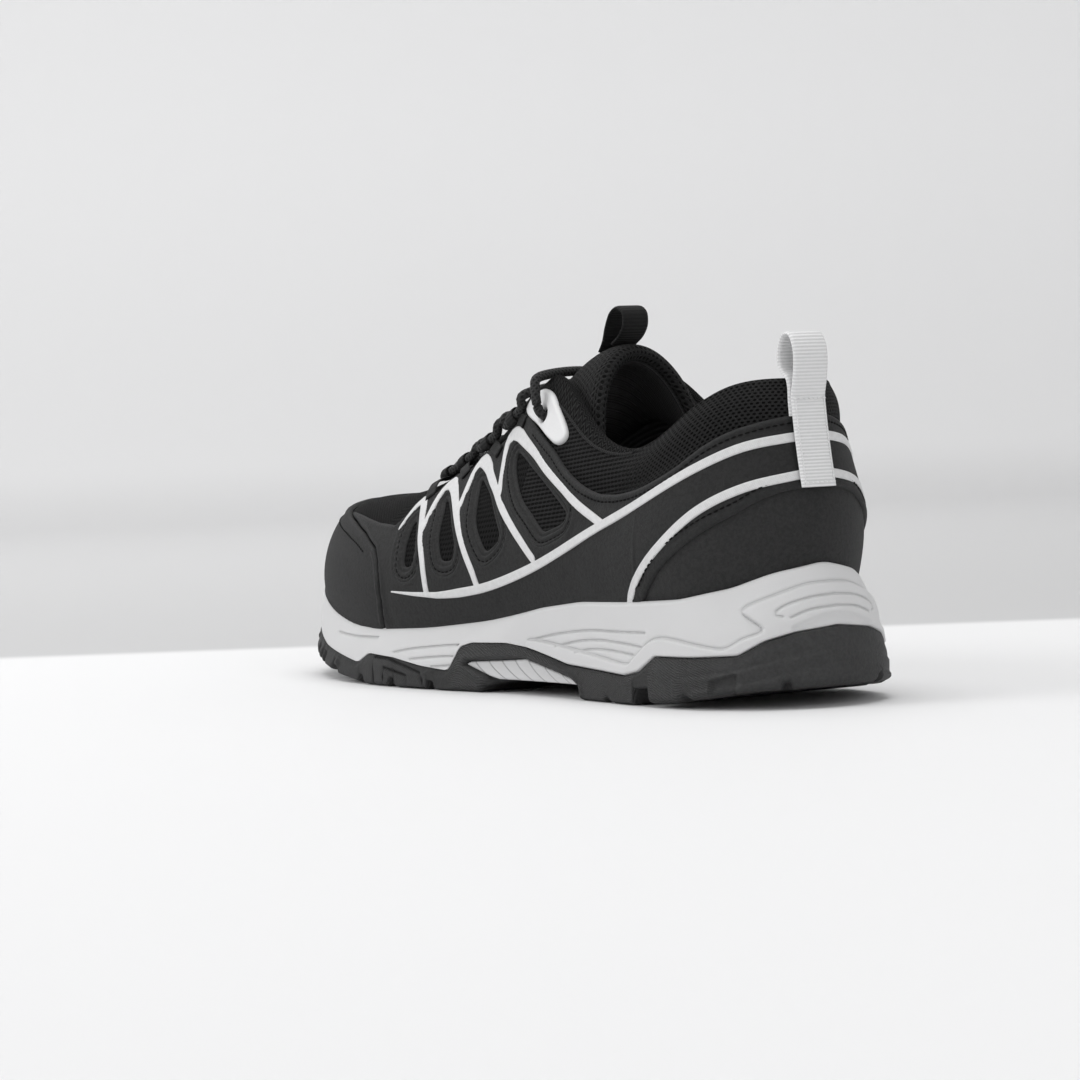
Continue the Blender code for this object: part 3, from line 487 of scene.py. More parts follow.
class Shade:
    # a shader value: arithmetic on it adds Math nodes, node() adds any node with its settings and values
    def __init__(self, tree, socket=None):
        self.tree = tree
        self.socket = socket

    def node(self, kind, settings=None, values=None, output=0):
        made = self.tree.nodes.new("ShaderNode" + kind)
        for key, value in (settings or {}).items():
            setattr(made, key, value)
        for key, value in (values or {}).items():
            if isinstance(value, Shade):
                self.tree.links.new(value.socket, made.inputs[key])
            else:
                made.inputs[key].default_value = value
        return Shade(self.tree, made.outputs[output])

    def maths(self, operation, first, second=0.0, third=0.0):
        return self.node("Math", {"operation": operation}, {0: first, 1: second, 2: third})

    def __add__(self, other):
        return self.maths("ADD", self, other)

    def __sub__(self, other):
        return self.maths("SUBTRACT", self, other)

    def __rsub__(self, other):
        return self.maths("SUBTRACT", other, self)

    def __mul__(self, other):
        return self.maths("MULTIPLY", self, other)

    def __truediv__(self, other):
        return self.maths("DIVIDE", self, other)

    def __rtruediv__(self, other):
        return self.maths("DIVIDE", other, self)

    __radd__ = __add__
    __rmul__ = __mul__

    def fract(self):
        return self.maths("FRACT", self)

    def floor(self):
        return self.maths("FLOOR", self)

    def size(self):
        return self.maths("ABSOLUTE", self)

    def sine(self):
        return self.maths("SINE", self)

    def most(self, other):
        return self.maths("MAXIMUM", self, other)

    def step(self, low, high):
        # smooth step from 0 at low to 1 at high
        smooth = {"interpolation_type": "SMOOTHSTEP"}
        return self.node("MapRange", smooth, {0: self, 1: low, 2: high, 3: 0.0, 4: 1.0})

    def blend(self, dark, light):
        # a colour between two, by this value
        return self.node("Mix", {"data_type": "RGBA"}, {0: self, 6: dark, 7: light}, 2)

    def mark(self, name):
        return self.node("Attribute", {"attribute_name": name}, {}, 2)

    def parts(self):
        # x, y and z of this vector
        first = self.node("SeparateXYZ", {}, {0: self})
        return [Shade(self.tree, socket) for socket in first.socket.node.outputs]

    def surface(self):
        # the piece's own coordinates, in millimetres
        return self.node("UVMap", {"uv_map": "surface"}).parts()[:2]

    def place(self, scale=1.0):
        # Object coordinates, in metres where scale is 1
        spot = self.node("TexCoord", {}, {}, 3)
        return spot.node("Mapping", {}, {0: spot, 3: (scale, scale, scale)})

    def noise(self, scale, detail=3.0, rough=0.55):
        values = {"Vector": self.place(), "Scale": scale, "Detail": detail, "Roughness": rough}
        return self.node("TexNoise", {}, values)


def grey(value):
    # a grey a trace cooler than neutral
    return (value, value, value * 1.005, 1)


fixedSockets = {"sheen": "Sheen Weight", "specular": "Specular IOR Level", "coat": "Coat Weight",
                "coatRough": "Coat Roughness"}


def newFinish(name, roughness, **constants):
    # a material whose shader's fixed values are set on its own sockets
    material = bpy.data.materials.new(name)
    material.use_nodes = True
    shader = material.node_tree.nodes["Principled BSDF"]
    shader.inputs["Roughness"].default_value = roughness
    for key, value in constants.items():
        shader.inputs[fixedSockets[key]].default_value = value
    return material, Shade(material.node_tree), shader


def feed(shade, shader, colour, roughness=None, height=None, depth=0.1):
    # links what varies: colour, roughness and a bump of the given depth in millimetres
    links = shade.tree.links
    links.new(colour.socket, shader.inputs["Base Color"])
    if roughness is not None:
        links.new(roughness.socket, shader.inputs["Roughness"])
    if height is not None:
        bump = shade.node("Bump", {}, {"Strength": 1.0, "Distance": depth * mm, "Height": height})
        links.new(bump.socket, shader.inputs["Normal"])


def panelFinish(name, tone):
    # nubuck-like microfibre: fine nap, faint clouding, edges rubbed a little lighter
    material, shade, shader = newFinish(name, 0.75, sheen=0.02, specular=0.2)
    nap = shade.noise(2600, 4, 0.6)
    grain = shade.noise(800, 4, 0.75).step(0.34, 0.66)
    cloud = shade.noise(60, 2)
    edge = shade.mark("edge")
    rubbed = (1 - edge.step(0.3, 1.6)) * 0.5
    value = grain * 0.5 + cloud * 0.12 + rubbed
    colour = value.blend(grey(tone * 0.78), grey(tone * 1.55))
    feed(shade, shader, colour, 0.62 + nap * 0.28, nap + grain * 0.5, 0.14)
    return material


def openMesh(u, v, pitchU, pitchV, shift, holeU, holeV):
    # rows of holes: each row moved by shift of a pitch from the last; 1 on the yarn, 0 in a hole
    row = v / pitchV
    column = u / pitchU + row.floor() * shift
    du = (column.fract() - 0.5) / holeU
    dv = (row.fract() - 0.5) / holeV
    return (du * du + dv * dv).step(0.55, 1.25)


def meshFinish():
    # padded spacer mesh: level rows towards the front, staggered holes round the heel,
    # a chevron knit along the rim
    material, shade, shader = newFinish("collarMesh", 0.85, sheen=0.015, specular=0.08)
    u, v = shade.surface()
    front, band = shade.mark("front"), shade.mark("band")
    x, _, z = shade.place(1000.0).parts()   # in millimetres
    ribbed = openMesh(x, z + x * 0.10, 2.3, 1.45, 0.0, 0.56, 0.33)
    comb = openMesh(u, v, 2.05, 1.1, 0.5, 0.32, 0.36)
    yarn = ribbed * front + comb * (1 - front)
    zigzag = ((u / 3.0).fract() - 0.5).size() * 3.0
    chevron = ((v + zigzag) * 4.2).sine() * 0.45 + 0.5
    yarn = yarn * (1 - band) + chevron * band
    thread = (u * 9.0).sine() * 0.08 + (v * 11.0).sine() * 0.08
    colour = (yarn * (0.7 + shade.noise(1500) * 0.6)).blend(grey(0.0008), grey(0.020))
    feed(shade, shader, colour, None, yarn + thread, 0.55)
    return material


def vampFinish():
    # close fine mesh for windows and vamp
    material, shade, shader = newFinish("windowMesh", 0.85, sheen=0.01, specular=0.08)
    u, v = shade.surface()
    vamp = shade.mark("vamp")
    ribs = openMesh(u, v, 1.5, 1.6, 0.0, 0.40, 0.32)
    fine = openMesh(u, v, 1.2, 0.9, 0.5, 0.34, 0.34)
    yarn = fine * vamp + ribs * (1 - vamp)
    colour = yarn.blend(grey(0.0008), grey(0.009))
    feed(shade, shader, colour, None, yarn, 0.45)
    return material


def knitFinish(name, tone, pitch=1.1, depth=0.3):
    # ribbed knit: ribs across v with small loops along u
    material, shade, shader = newFinish(name, 0.9, sheen=0.03, specular=0.1)
    u, v = shade.surface()
    rib = (v * (2 * np.pi / pitch)).sine() * 0.5 + 0.5
    loop = ((u * (2 * np.pi / (pitch * 0.8))) + (v / pitch).floor() * np.pi).sine() * 0.5 + 0.5
    height = rib * 0.7 + loop * 0.3
    feed(shade, shader, height.blend(grey(tone * 0.35), grey(tone * 1.3)), None, height, depth)
    return material


def paddedFinish():
    # chunky tongue mesh: diagonal lattice of thick yarn over deep pores
    material, shade, shader = newFinish("tongueMesh", 0.85, sheen=0.03, specular=0.12)
    u, v = shade.surface()
    yarn = openMesh(u + v * 0.25, v, 1.6, 1.35, 0.5, 0.33, 0.33)
    strand = ((u + v) * 5.0).sine() * 0.12
    colour = (yarn + strand).blend(grey(0.0015), grey(0.018))
    feed(shade, shader, colour, None, yarn + strand, 0.6)
    return material


def trimFinish():
    # white bonded film with a fine woven dot
    material, shade, shader = newFinish("whiteTrim", 0.5, specular=0.5)
    u, v = shade.surface()
    dots = ((u * 7.0 + v * 3.0).sine() * (u * 3.0 - v * 7.0).sine()) * 0.5 + 0.5
    colour = (dots * 0.35 + shade.noise(700) * 0.65).step(0.15, 0.85).blend(grey(0.53), grey(0.67))
    feed(shade, shader, colour, 0.42 + dots * 0.18, dots, 0.06)
    return material


def foamFinish():
    # satin moulded foam: faint skin texture, with painted shade darkening the moulded lines and the band's
    # edge
    material, shade, shader = newFinish("midsoleFoam", 0.55, specular=0.4)
    line = shade.mark("line")
    skinGrain = shade.noise(1900, 3)
    cloud = shade.noise(45, 2)
    # painted shade: 0 in the moulded lines and at the band's edge, where the colour goes darker
    outsideLineShade = line.step(0.0, 0.6)
    tone = outsideLineShade * 0.7 + cloud * 0.3
    colour = tone.blend(grey(0.45), grey(0.61))
    feed(shade, shader, colour, 0.5 + skinGrain * 0.14, outsideLineShade + skinGrain * 0.12, 0.3)
    return material


def rubberFinish():
    # moulded rubber: fine hatch on the walls, cut lines and a dusty bloom; painted shade darkens the cut
    # lines and the hatch's stripes paint the shading of its ridges
    material, shade, shader = newFinish("outsoleRubber", 0.6, specular=0.3)
    u, v = shade.surface()
    line = shade.mark("line").step(0.15, 0.7)
    wallMark = shade.mark("wall")
    hatch = ((u + v * 1.3) * 3.4).sine() * wallMark
    bloom = shade.noise(300, 4, 0.65)
    speck = shade.noise(900, 3).step(0.3, 0.7)
    # painted shade: the colour goes dark in the cut lines, and the hatch adds painted light and dark
    # stripes over its fine ridges
    colour = (line * (0.25 + bloom * 0.7 + hatch * 0.2 + speck * 0.2)).blend(grey(0.004), grey(0.044))
    feed(shade, shader, colour, 0.5 + bloom * 0.25, line * 1.6 + hatch * 0.28 + speck * 0.25, 0.35)
    return material


def insertFinish():
    # satin plastic, with painted shade where two slats meet at the step between them
    material, shade, shader = newFinish("archInsert", 0.45, specular=0.45)
    rib = shade.mark("rib")
    # the dark band at the slats' step is painted shade
    colour = rib.step(0.02, 0.14).blend(grey(0.25), grey(0.56))
    feed(shade, shader, colour, 0.4 + shade.noise(1500) * 0.15, shade.noise(1800), 0.03)
    return material


def plasticFinish():
    # smooth moulded plastic, a little darker along its edge: painted shade where the rim rolls over
    material, shade, shader = newFinish("tabPlastic", 0.35, specular=0.5, coat=0.15, coatRough=0.25)
    soft = shade.noise(140, 2)
    # painted shade over the rounded rim of the outline and the hole
    edge = shade.mark("edge").step(0.0, 1.1)
    colour = (soft * 0.3 + edge * 0.7).blend(grey(0.52), grey(0.72))
    feed(shade, shader, colour, 0.3 + soft * 0.15, shade.noise(1300), 0.04)
    return material


def laceFinish():
    # round braid: two families of diagonal strands, a few light flecks that are painted glints
    material, shade, shader = newFinish("laceBraid", 0.7, sheen=0.04, specular=0.2)
    u, v = shade.surface()
    one = ((u + v * 0.9) * 3.4).sine()
    two = ((u - v * 0.9) * 3.4).sine()
    braid = one.most(two) * 0.5 + 0.5
    # painted glints: bright spots where the two strand waves line up, thinned out by noise
    paintedGlint = (one * two).step(0.86, 0.98) * shade.noise(260, 1).step(0.55, 0.6)
    colour = (braid * 0.22 + paintedGlint * 0.75).blend(grey(0.003), grey(0.12))
    feed(shade, shader, colour, None, braid, 0.3)
    return material


def webbingFinish(name, dark, light, pitch):
    # grosgrain: ribs across the strap, fine threads along it
    material, shade, shader = newFinish(name, 0.7, sheen=0.03, specular=0.2)
    u, v = shade.surface()
    rib = (u * (2 * np.pi / pitch)).sine() * 0.5 + 0.5
    thread = (v * 14.0).sine() * 0.5 + 0.5
    colour = (rib * 0.75 + thread * 0.12 + shade.noise(900) * 0.2).blend(grey(dark), grey(light))
    feed(shade, shader, colour, None, rib * 0.5 + thread * 0.3, 0.12)
    return material


def threadFinish(name, tone):
    # sewing thread with a fine uneven twist
    material, shade, shader = newFinish(name, 0.75, specular=0.12)
    twist = shade.noise(3800, 2)
    feed(shade, shader, twist.blend(grey(tone * 0.6), grey(tone * 1.4)), None, twist, 0.08)
    return material


panelBlack = panelFinish("panelNubuck", 0.019)
counterBlack = panelFinish("counterNubuck", 0.023)
collarMesh = meshFinish()
windowMesh = vampFinish()
liningKnit = knitFinish("liningKnit", 0.07)
tongueMesh = paddedFinish()
whiteTrim = trimFinish()
midsoleFoam = foamFinish()
outsoleRubber = rubberFinish()
insertGrey = insertFinish()
tabWhite = plasticFinish()
laceBlack = laceFinish()
webbingBlack = webbingFinish("webbingBlack", 0.0025, 0.011, 1.1)
webbingWhite = webbingFinish("webbingWhite", 0.58, 0.77, 1.1)
threadBlack = threadFinish("threadBlack", 0.004)
threadWhite = threadFinish("threadWhite", 0.72)
insoleCloth = knitFinish("insoleCloth", 0.02, 1.6, 0.2)
print("finishes ready")

# upper: one hollow padded shell, mesh outside and knit inside

upper = {"columns": 480, "outerRows": 78, "edgeRows": 9, "innerRows": 26, "crest": 0.36,
         "puff": 1.5, "puffFrom": 0.73, "puffFade": (3.9, 1.0),
         "levelRows": (2.3, 1.2), "windowFrom": 5.2, "vampFrom": 7.15,     # stations where the mesh changes
         "seamRadius": 0.5, "seamSides": 10, "seamLift": 0.05, "bandEdge": 0.012,
         "seam": ((5.3, 0.935), (5.0, 0.925), (4.75, 0.922), (4.5, 0.925), (4.2, 0.935), (3.86, 0.953),
                  (3.5, 0.975), (3.1, 0.998))}


def wallAt(s, v):
    low, full = form["collarRise"]
    start, end = form["collarFade"]
    padded = 1 - np.clip((fold(s) - start) / (end - start), 0, 1)
    return form["wall"] + (form["collarWall"] - form["wall"]) * padded * ease((v - low) / (full - low))


def collarPuff(s, v):
    # padding swells between the panel's edge and the opening: a half sine of v, fading towards the throat
    rise = np.clip((v - upper["puffFrom"]) / (1 - upper["puffFrom"]), 0, 1)
    start, span = upper["puffFade"]
    return upper["puff"] * np.sin(np.pi * rise) * (1 - ease((fold(s) - start) / span))


def seamAt(s):
    # v of the seam between the quarter mesh and the knitted rim; past the rim where there is no seam
    path = smoothPath(upper["seam"], 0.02)[::-1]
    return np.interp(fold(s), path[:, 0], path[:, 1], left=2, right=2)


def makeUpper():
    s = np.arange(upper["columns"]) * turn / upper["columns"]
    up = np.linspace(0, 1, upper["outerRows"])
    down = np.linspace(1, 0, upper["innerRows"])
    outer = skin(s[None], up[:, None], collarPuff(s[None], up[:, None]))
    outer[0, :, 2] += form["gap"]
    arc = np.linspace(0, np.pi, upper["edgeRows"])[1:-1, None]
    edge = wallAt(s, 1)[None]
    crest = skin(s[None], 1.0, -edge / 2 * (1 - np.cos(arc)))
    crest[..., 2] += upper["crest"] * edge * np.sin(arc)
    inner = skin(s[None], down[:, None], -wallAt(s[None], down[:, None]))
    inner[-1, :, 2] = np.maximum(inner[-1, :, 2], outer[0, :, 2])
    points = np.concatenate([outer, crest, inner])
    rows = len(points)
    faces, corners = quadGrid(rows, len(s), True, True)
    u = np.append(alongUpper(s), 2 * lengthUpper[-1])
    v = pathLength(points[:, 40])
    v = np.append(v, v[-1] + 3)
    uv = np.stack([u[corners[..., 0]], v[corners[..., 1]]], -1)
    column = corners[:, 0, 0] * turn / upper["columns"]
    toe = fold(column) > upper["vampFrom"]
    uv[toe] = points.reshape(-1, 3)[faces[toe], 1::-1]   # the vamp's pattern lies flat, seen from above
    row = corners[:, 0, 1]
    mesh = np.where(fold(column) > upper["windowFrom"], 1, 0)
    inside = row > upper["outerRows"] + upper["edgeRows"] - 3
    kind = np.where(inside, 2, mesh)
    start, span = upper["levelRows"]
    front = np.repeat(ease((fold(s) - start) / span)[None], rows, 0)
    vamp = np.repeat((fold(s) > upper["vampFrom"])[None], rows, 0)
    height = np.concatenate([up, 1 + 0.01 * np.arange(rows - len(up))])[:, None]
    band = ease((height - seamAt(s)[None]) / upper["bandEdge"] + 0.5)
    piece = makePiece("upperShell", points, faces, [collarMesh, windowMesh, liningKnit], uv,
                      {"front": front, "vamp": vamp, "band": band}, closed=True, faceFinish=kind)
    dress(piece, "mesh_black", "upper")


makeUpper()

# overlays: bonded panels with stepped windows, toe cap, heel counter, white trim lines

panel = {
    "lift": 1.6, "base": 0.2, "edgeRound": 0.9, "edgeSink": 0.5, "lap": 0.8, "troughFade": 4,
    "ridge": 0.3, "ridgeAt": 1.3, "ridgeWidth": 0.7,
    "front": ((60, -5), (55.3, 20), (51.8, 30.7), (52.9, 39), (55.7, 44.5), (60.5, 48.8), (75, 53.7),
              (92, 57.4), (112, 60.6), (90, 59.2), (68, 57), (53, 56.4), (46.5, 63), (34, 70.5), (17, 79),
              (-5, 90), (-9, 130), (-300, 130), (-300, -5)),
    "top": {"path": ((0, 93.4), (0.5, 91.8), (1.06, 88.4), (1.5, 83.8), (2.02, 76.6), (2.47, 72.2),
                     (2.9, 69.3), (3.43, 68), (3.91, 70.6), (4.33, 76), (4.73, 83.5), (5.3, 91.5),
                     (5.6, 95.5)),
            "ramp": ((5.9, 140), (10, 140))},
    "counter": {"path": ((0, 69.5), (0.4, 68.8), (0.75, 66), (1.04, 62), (1.52, 56), (2.1, 47), (2.4, 40.5),
                         (2.66, 33.5)), "ramp": ((2.8, -40), (10, -40))},
    "margin": 1.7,
    "grid": ((-8.45, 8.45, 760), (0.02, 0.99, 104)),     # from, to and count, of s and of v
}
creases = (
    {"path": ((-66, 63), (-60, 52), (-58, 40)), "depth": 0.4, "width": 7.0},
    {"path": ((-84, 62), (-78, 50), (-77, 40)), "depth": 0.3, "width": 7.5},
    {"path": ((-40, 42), (-28, 38), (-16, 33)), "depth": 0.3, "width": 3.5},
    {"path": ((47, 38), (49, 30), (48, 22)), "depth": 0.3, "width": 3.0},
)
windows = (   # x and z round each opening, close points where its corners are tight
    ((-10.4, 81.4), (-14.4, 81.2), (-30.7, 73.9), (-49.4, 63.4), (-51.4, 61.2), (-50.4, 58.9), (-41.5, 56),
     (-38.6, 56.4), (-30.9, 61.5), (-22.5, 66.9), (-13.2, 76)),
    ((10.4, 72.2), (7.2, 71.6), (-2.7, 66.4), (-13.4, 56.2), (-14.8, 53.6), (-13.8, 51.6), (-9.6, 49),
     (-7.4, 49.8), (0.7, 57.8), (5.8, 65.6)),
    ((28.8, 65.4), (26, 64.8), (18.8, 60.2), (11.9, 53.2), (10, 50), (9.6, 46.8), (10.8, 45.4),
     (14.6, 45.2), (16.4, 46.2), (19.6, 51), (24.8, 61.2)),
    ((41.1, 58.6), (39.6, 57.4), (36.6, 54.2), (33.6, 49), (33, 46), (33.4, 43.6), (34.8, 42.8), (37, 42.7),
     (38.2, 43.6), (39.2, 47), (41.5, 56.4)),
)
windowFrame = {"reach": 5.0, "lap": 0.5, "cell": 0.36, "stitchAt": 3.75,
               # distance from the opening and height: ledge, welt, stitched groove, outer welt
               "profile": ((0, 0.3), (0.3, 0.75), (0.6, 0.95), (1.3, 0.95), (1.6, 0.7), (1.95, 1.15),
                           (2.3, 1.6), (3, 1.65), (3.4, 1.4), (3.7, 1.1), (4, 1.35), (4.4, 1.8), (4.7, 1.8),
                           (5, 1.55))}
peaks = (   # x, z and width of each white stroke, from its front foot over the top to the main line
    ((47.8, 55.2, 1.3), (46.8, 59.4, 2.1), (45.6, 63.4, 2.8), (43, 64.6, 3.2), (38.6, 61.5, 3),
     (34.1, 57.3, 2.8), (30.2, 52, 2.7), (26, 45.6, 2.7), (23.8, 39.6, 2.7), (23, 34.8, 2.7)),
    ((31, 54.6, 2.4), (32.3, 61, 2.7), (34, 68, 3.2), (31.2, 70.6, 4.2), (25.7, 69, 3.8), (19.5, 65.2, 3.2),
     (14.2, 61.1, 3), (9.8, 57, 2.8), (4, 50.8, 2.7), (-2.5, 42.6, 2.7), (-4.8, 37.6, 2.7)),
    ((13.4, 61.2, 2.4), (15.2, 67.2, 2.7), (17.6, 75.4, 3.4), (14.4, 78.6, 4.8), (7, 76.4, 4.2),
     (0, 72.4, 3.4), (-6.3, 68.7, 3), (-14, 62.9, 2.8), (-23.3, 56.3, 2.7), (-30, 51.5, 2.7),
     (-36, 46.8, 2.7)),
    ((-9.8, 66.5, 2.6), (-6.2, 73.6, 2.7), (-1.6, 83.8, 3.4), (-3.4, 87.4, 4.8), (-8.4, 88.2, 5),
     (-15.3, 86, 4.2), (-26, 81.6, 3.2), (-36.4, 75.7, 3), (-47, 70.2, 2.8), (-58.2, 64.6, 2.7),
     (-75.5, 58.4, 2.7)),
)
mainLine = {"width": 3.0, "tip": (6.74, 5.9),
            "path": ((0, 86), (0.38, 85.2), (0.93, 82.7), (1.61, 76.5), (2.6, 66.2), (3.43, 57.7),
                     (4.21, 49.1), (4.78, 43.4), (5.41, 37.8), (5.75, 35.5), (6.12, 33.8), (6.36, 33.6),
                     (6.9, 34.4)),
            "ramp": ((10, 34.4),)}
secondLine = {"width": 2.9,
              "path": ((0, 74), (0.32, 73.2), (0.93, 69.8), (1.57, 62.7), (2.2, 51.6), (2.62, 42.6),
                       (2.83, 36.4), (2.94, 31), (2.99, 27)),
              "ramp": ((3.1, 10), (10, -400))}


def aboveTable(table, s, z):
    # distance from a line given as height over s, positive above it
    step = 0.02
    slope = (curveTable(table, s + step) - curveTable(table, s - step)) / np.maximum(
        np.abs(alongUpper(s + step) - alongUpper(s - step)), 1e-6)
    return (z - curveTable(table, s)) / np.sqrt(1 + slope ** 2)


def whiteReach(spots, s):
    # inside of the white strokes: half width less distance, the largest over all of them
    strokes = []
    for peak in peaks:
        path = smoothPath(peak, 2.0)
        strokes.append(pathReach(sideView(spots), path[:, :2], path[:, 2]))
    taper = np.clip((mainLine["tip"][0] - fold(s)) / (mainLine["tip"][0] - mainLine["tip"][1]), 0, 1)
    away = np.abs(aboveTable(mainLine, s, spots[..., 2]))
    strokes.append(mainLine["width"] / 2 * (0.16 + 0.84 * taper) - away - np.where(taper <= 0, 5, 0))
    strokes.append(secondLine["width"] / 2 - np.abs(aboveTable(secondLine, s, spots[..., 2])))
    return np.max(strokes, axis=0), np.max(strokes[:len(peaks)], axis=0)


def windowReach(spots):
    return np.max([inOutline(sideView(spots), smoothPath(window, 1.5, True)) for window in windows], axis=0)


def aboveLip(s, z):
    return z - softTable(sole["lip"], s, 0.1)


def panelInside(s, v):
    spots = onLast(s, v)
    z = spots[..., 2]
    body = inOutline(sideView(spots), np.array(panel["front"], float))
    _, peakReach = whiteReach(spots, s)
    body = np.maximum(body, peakReach + panel["margin"])
    body = np.minimum(body, -aboveTable(panel["top"], s, z))
    body = np.minimum(body, aboveTable(panel["counter"], s, z))
    body = np.minimum(body, aboveLip(s, z) + panel["lap"])
    return np.minimum(body, -windowReach(spots) - windowFrame["reach"] + windowFrame["lap"])


def flexTroughs(s, v):
    # soft hollows where the shoe bends: a bell curve of the distance to each given path
    view = sideView(onLast(s, v))
    depth = 0
    for crease in creases:
        away = pathReach(view, smoothPath(crease["path"], 3.0))
        depth = depth + crease["depth"] * np.exp(-(away / crease["width"]) ** 2)
    return depth


def sewnEdge(sheet, d):
    # full height, rolled down at the cut edge behind a low ridge: a bell curve of the distance to the edge
    rolled = sheet["lift"] - panel["edgeSink"] * (1 - np.clip(d / panel["edgeRound"], 0, 1)) ** 2
    return rolled + sheet["ridge"] * np.exp(-((d - sheet["ridgeAt"]) / sheet["ridgeWidth"]) ** 2)


def panelLift(s, v, d):
    return sewnEdge(panel, d) - flexTroughs(s, v) * ease(d / panel["troughFade"])


perS, perV = 25, 82     # millimetres on the upper for one s and for one v, about


def upperUv(faces, s, v):
    return cornerValues(faces, np.column_stack([alongUpper(s), v * perV]))


def makeOverlay(name, sheet, inside, lift, base, finish, slot, *nodes):
    # a sheet cut from the upper's surface on the sheet's own grid of s and v
    sLine, vLine = [np.linspace(*line) for line in sheet["grid"]]
    points, faces, s, v, d = trimSheet(skin, sLine, vLine, inside, lift, base)
    marks = {"edge": d + sheet.get("unworn", 0)}
    dress(makePiece(name, points, faces, [finish], upperUv(faces, s, v), marks), slot, *nodes)


def makeSidePanels():
    makeOverlay("sidePanels", panel, panelInside, panelLift, panel["base"], panelBlack,
                "panel_black", "side_panel_left", "side_panel_right")


def makeWindowFrames():
    # a stepped frame round each opening: height from the profile by distance to the opening
    away, high = np.transpose(windowFrame["profile"])
    parts, marks = [], []
    for window in windows:
        ring = smoothPath(window, 1.5, True)
        s, v = findOnSide(offsetPath(np.concatenate([ring, ring[:2]]), -windowFrame["reach"] - 1))

        def distance(s, v):
            return -inOutline(sideView(onLast(s, v)), ring)

        def inside(s, v):
            d = distance(s, v)
            return np.minimum(np.minimum(d, windowFrame["reach"] - d), throatEdge(s, v))

        def lift(s, v, d):
            return np.interp(distance(s, v), away, high)
        columns = int((s.max() - s.min()) * perS / windowFrame["cell"])
        rows = int((v.max() - v.min()) * perV / windowFrame["cell"])
        for side in (1, -1):
            sLine = np.linspace(s.min(), s.max(), columns)
            sLine = sLine if side > 0 else turn - sLine[::-1]
            points, faces, sAll, vAll, d = trimSheet(skin, sLine, np.linspace(v.min(), v.max(), rows),
                                                     inside, lift, 0.1)
            parts.append((points, faces, upperUv(faces, sAll, vAll)))
            marks.append(d)
    points, faces, uv = joinParts(parts)
    piece = makePiece("windowFrames", points, faces, [panelBlack], uv,
                      {"edge": np.concatenate(marks) + 0.5})
    dress(piece, "panel_black")


def throatEdge(s, v):
    # keeps a frame inside the panel's own top edge
    spots = onLast(s, v)
    body = inOutline(sideView(spots), np.array(panel["front"], float))
    return np.maximum(body, whiteReach(spots, s)[1] + panel["margin"])


whiteFilm = {"stand": 0.12, "crown": 0.28, "round": 0.5, "sink": 0.6, "lap": 0.5,
             "grid": ((-6.95, 6.95, 1750), (0.04, 0.95, 270))}


def makeWhiteTrim():
    def inside(s, v):
        spots = onLast(s, v)
        reach, _ = whiteReach(spots, s)
        return np.minimum(reach, aboveLip(s, spots[..., 2]) + whiteFilm["lap"])

    def lift(s, v, d):
        full = 1 - (1 - np.clip(d / whiteFilm["round"], 0, 1)) ** 2
        return panel["lift"] + whiteFilm["stand"] + whiteFilm["crown"] * full
    makeOverlay("whiteTrim", whiteFilm, inside, lift, panel["lift"] - whiteFilm["sink"], whiteTrim,
                "trim_white")


toeCap = {"lift": 1.55, "ridge": 0.55, "ridgeAt": 1.1, "ridgeWidth": 0.8, "stitchInset": 4.2,
          "stitchFrom": 47, "grid": ((6.6, 13.4, 420), (0.02, 0.9, 90)),
          "outline": ((56.5, -5), (55.9, 20), (52.4, 30.7), (53.5, 39), (56.3, 44.3), (61, 48.2),
                      (75, 53.1), (92, 56.8), (112, 60), (135, 63.5), (240, 66), (240, -5))}


def makeToeCap():
    def inside(s, v):
        spots = onLast(s, v)
        return np.minimum(inOutline(sideView(spots), np.array(toeCap["outline"], float)),
                          aboveLip(s, spots[..., 2]) + panel["lap"])

    def lift(s, v, d):
        return sewnEdge(toeCap, d)
    makeOverlay("toeCap", toeCap, inside, lift, panel["base"], panelBlack, "panel_black", "toe_cap")


counter = {"lift": 0.45, "tuck": 3.0, "unworn": 2, "grid": ((-2.78, 2.78, 260), (0.02, 0.6, 66))}


def makeHeelCounter():
    def inside(s, v):
        z = onLast(s, v)[..., 2]
        return np.minimum(counter["tuck"] - aboveTable(panel["counter"], s, z),
                          aboveLip(s, z) + panel["lap"])

    def lift(s, v, d):
        return np.full(len(d), counter["lift"])
    makeOverlay("heelCounter", counter, inside, lift, panel["base"], counterBlack, "panel_black",
                "heel_counter")


makeSidePanels()
makeWindowFrames()
makeWhiteTrim()
makeToeCap()
makeHeelCounter()

# eyelet tabs

tab = {"lift": 2.0, "round": 1.1, "sink": 1.1, "base": 0.3, "hole": (-25.5, 94.6, 2.3), "innerShift": 1.9,
       "grid": ((4.1, 6.1, 120), (0.72, 1, 70)),
       "outline": ((-9.4, 97.2), (-12, 100.6), (-17, 103), (-22, 103.6), (-28, 101.8), (-33.2, 97.6),
                   (-41.8, 89.6), (-42.4, 86.2), (-37.6, 84.6), (-31.8, 86.6), (-22, 91.2), (-12, 94.4))}


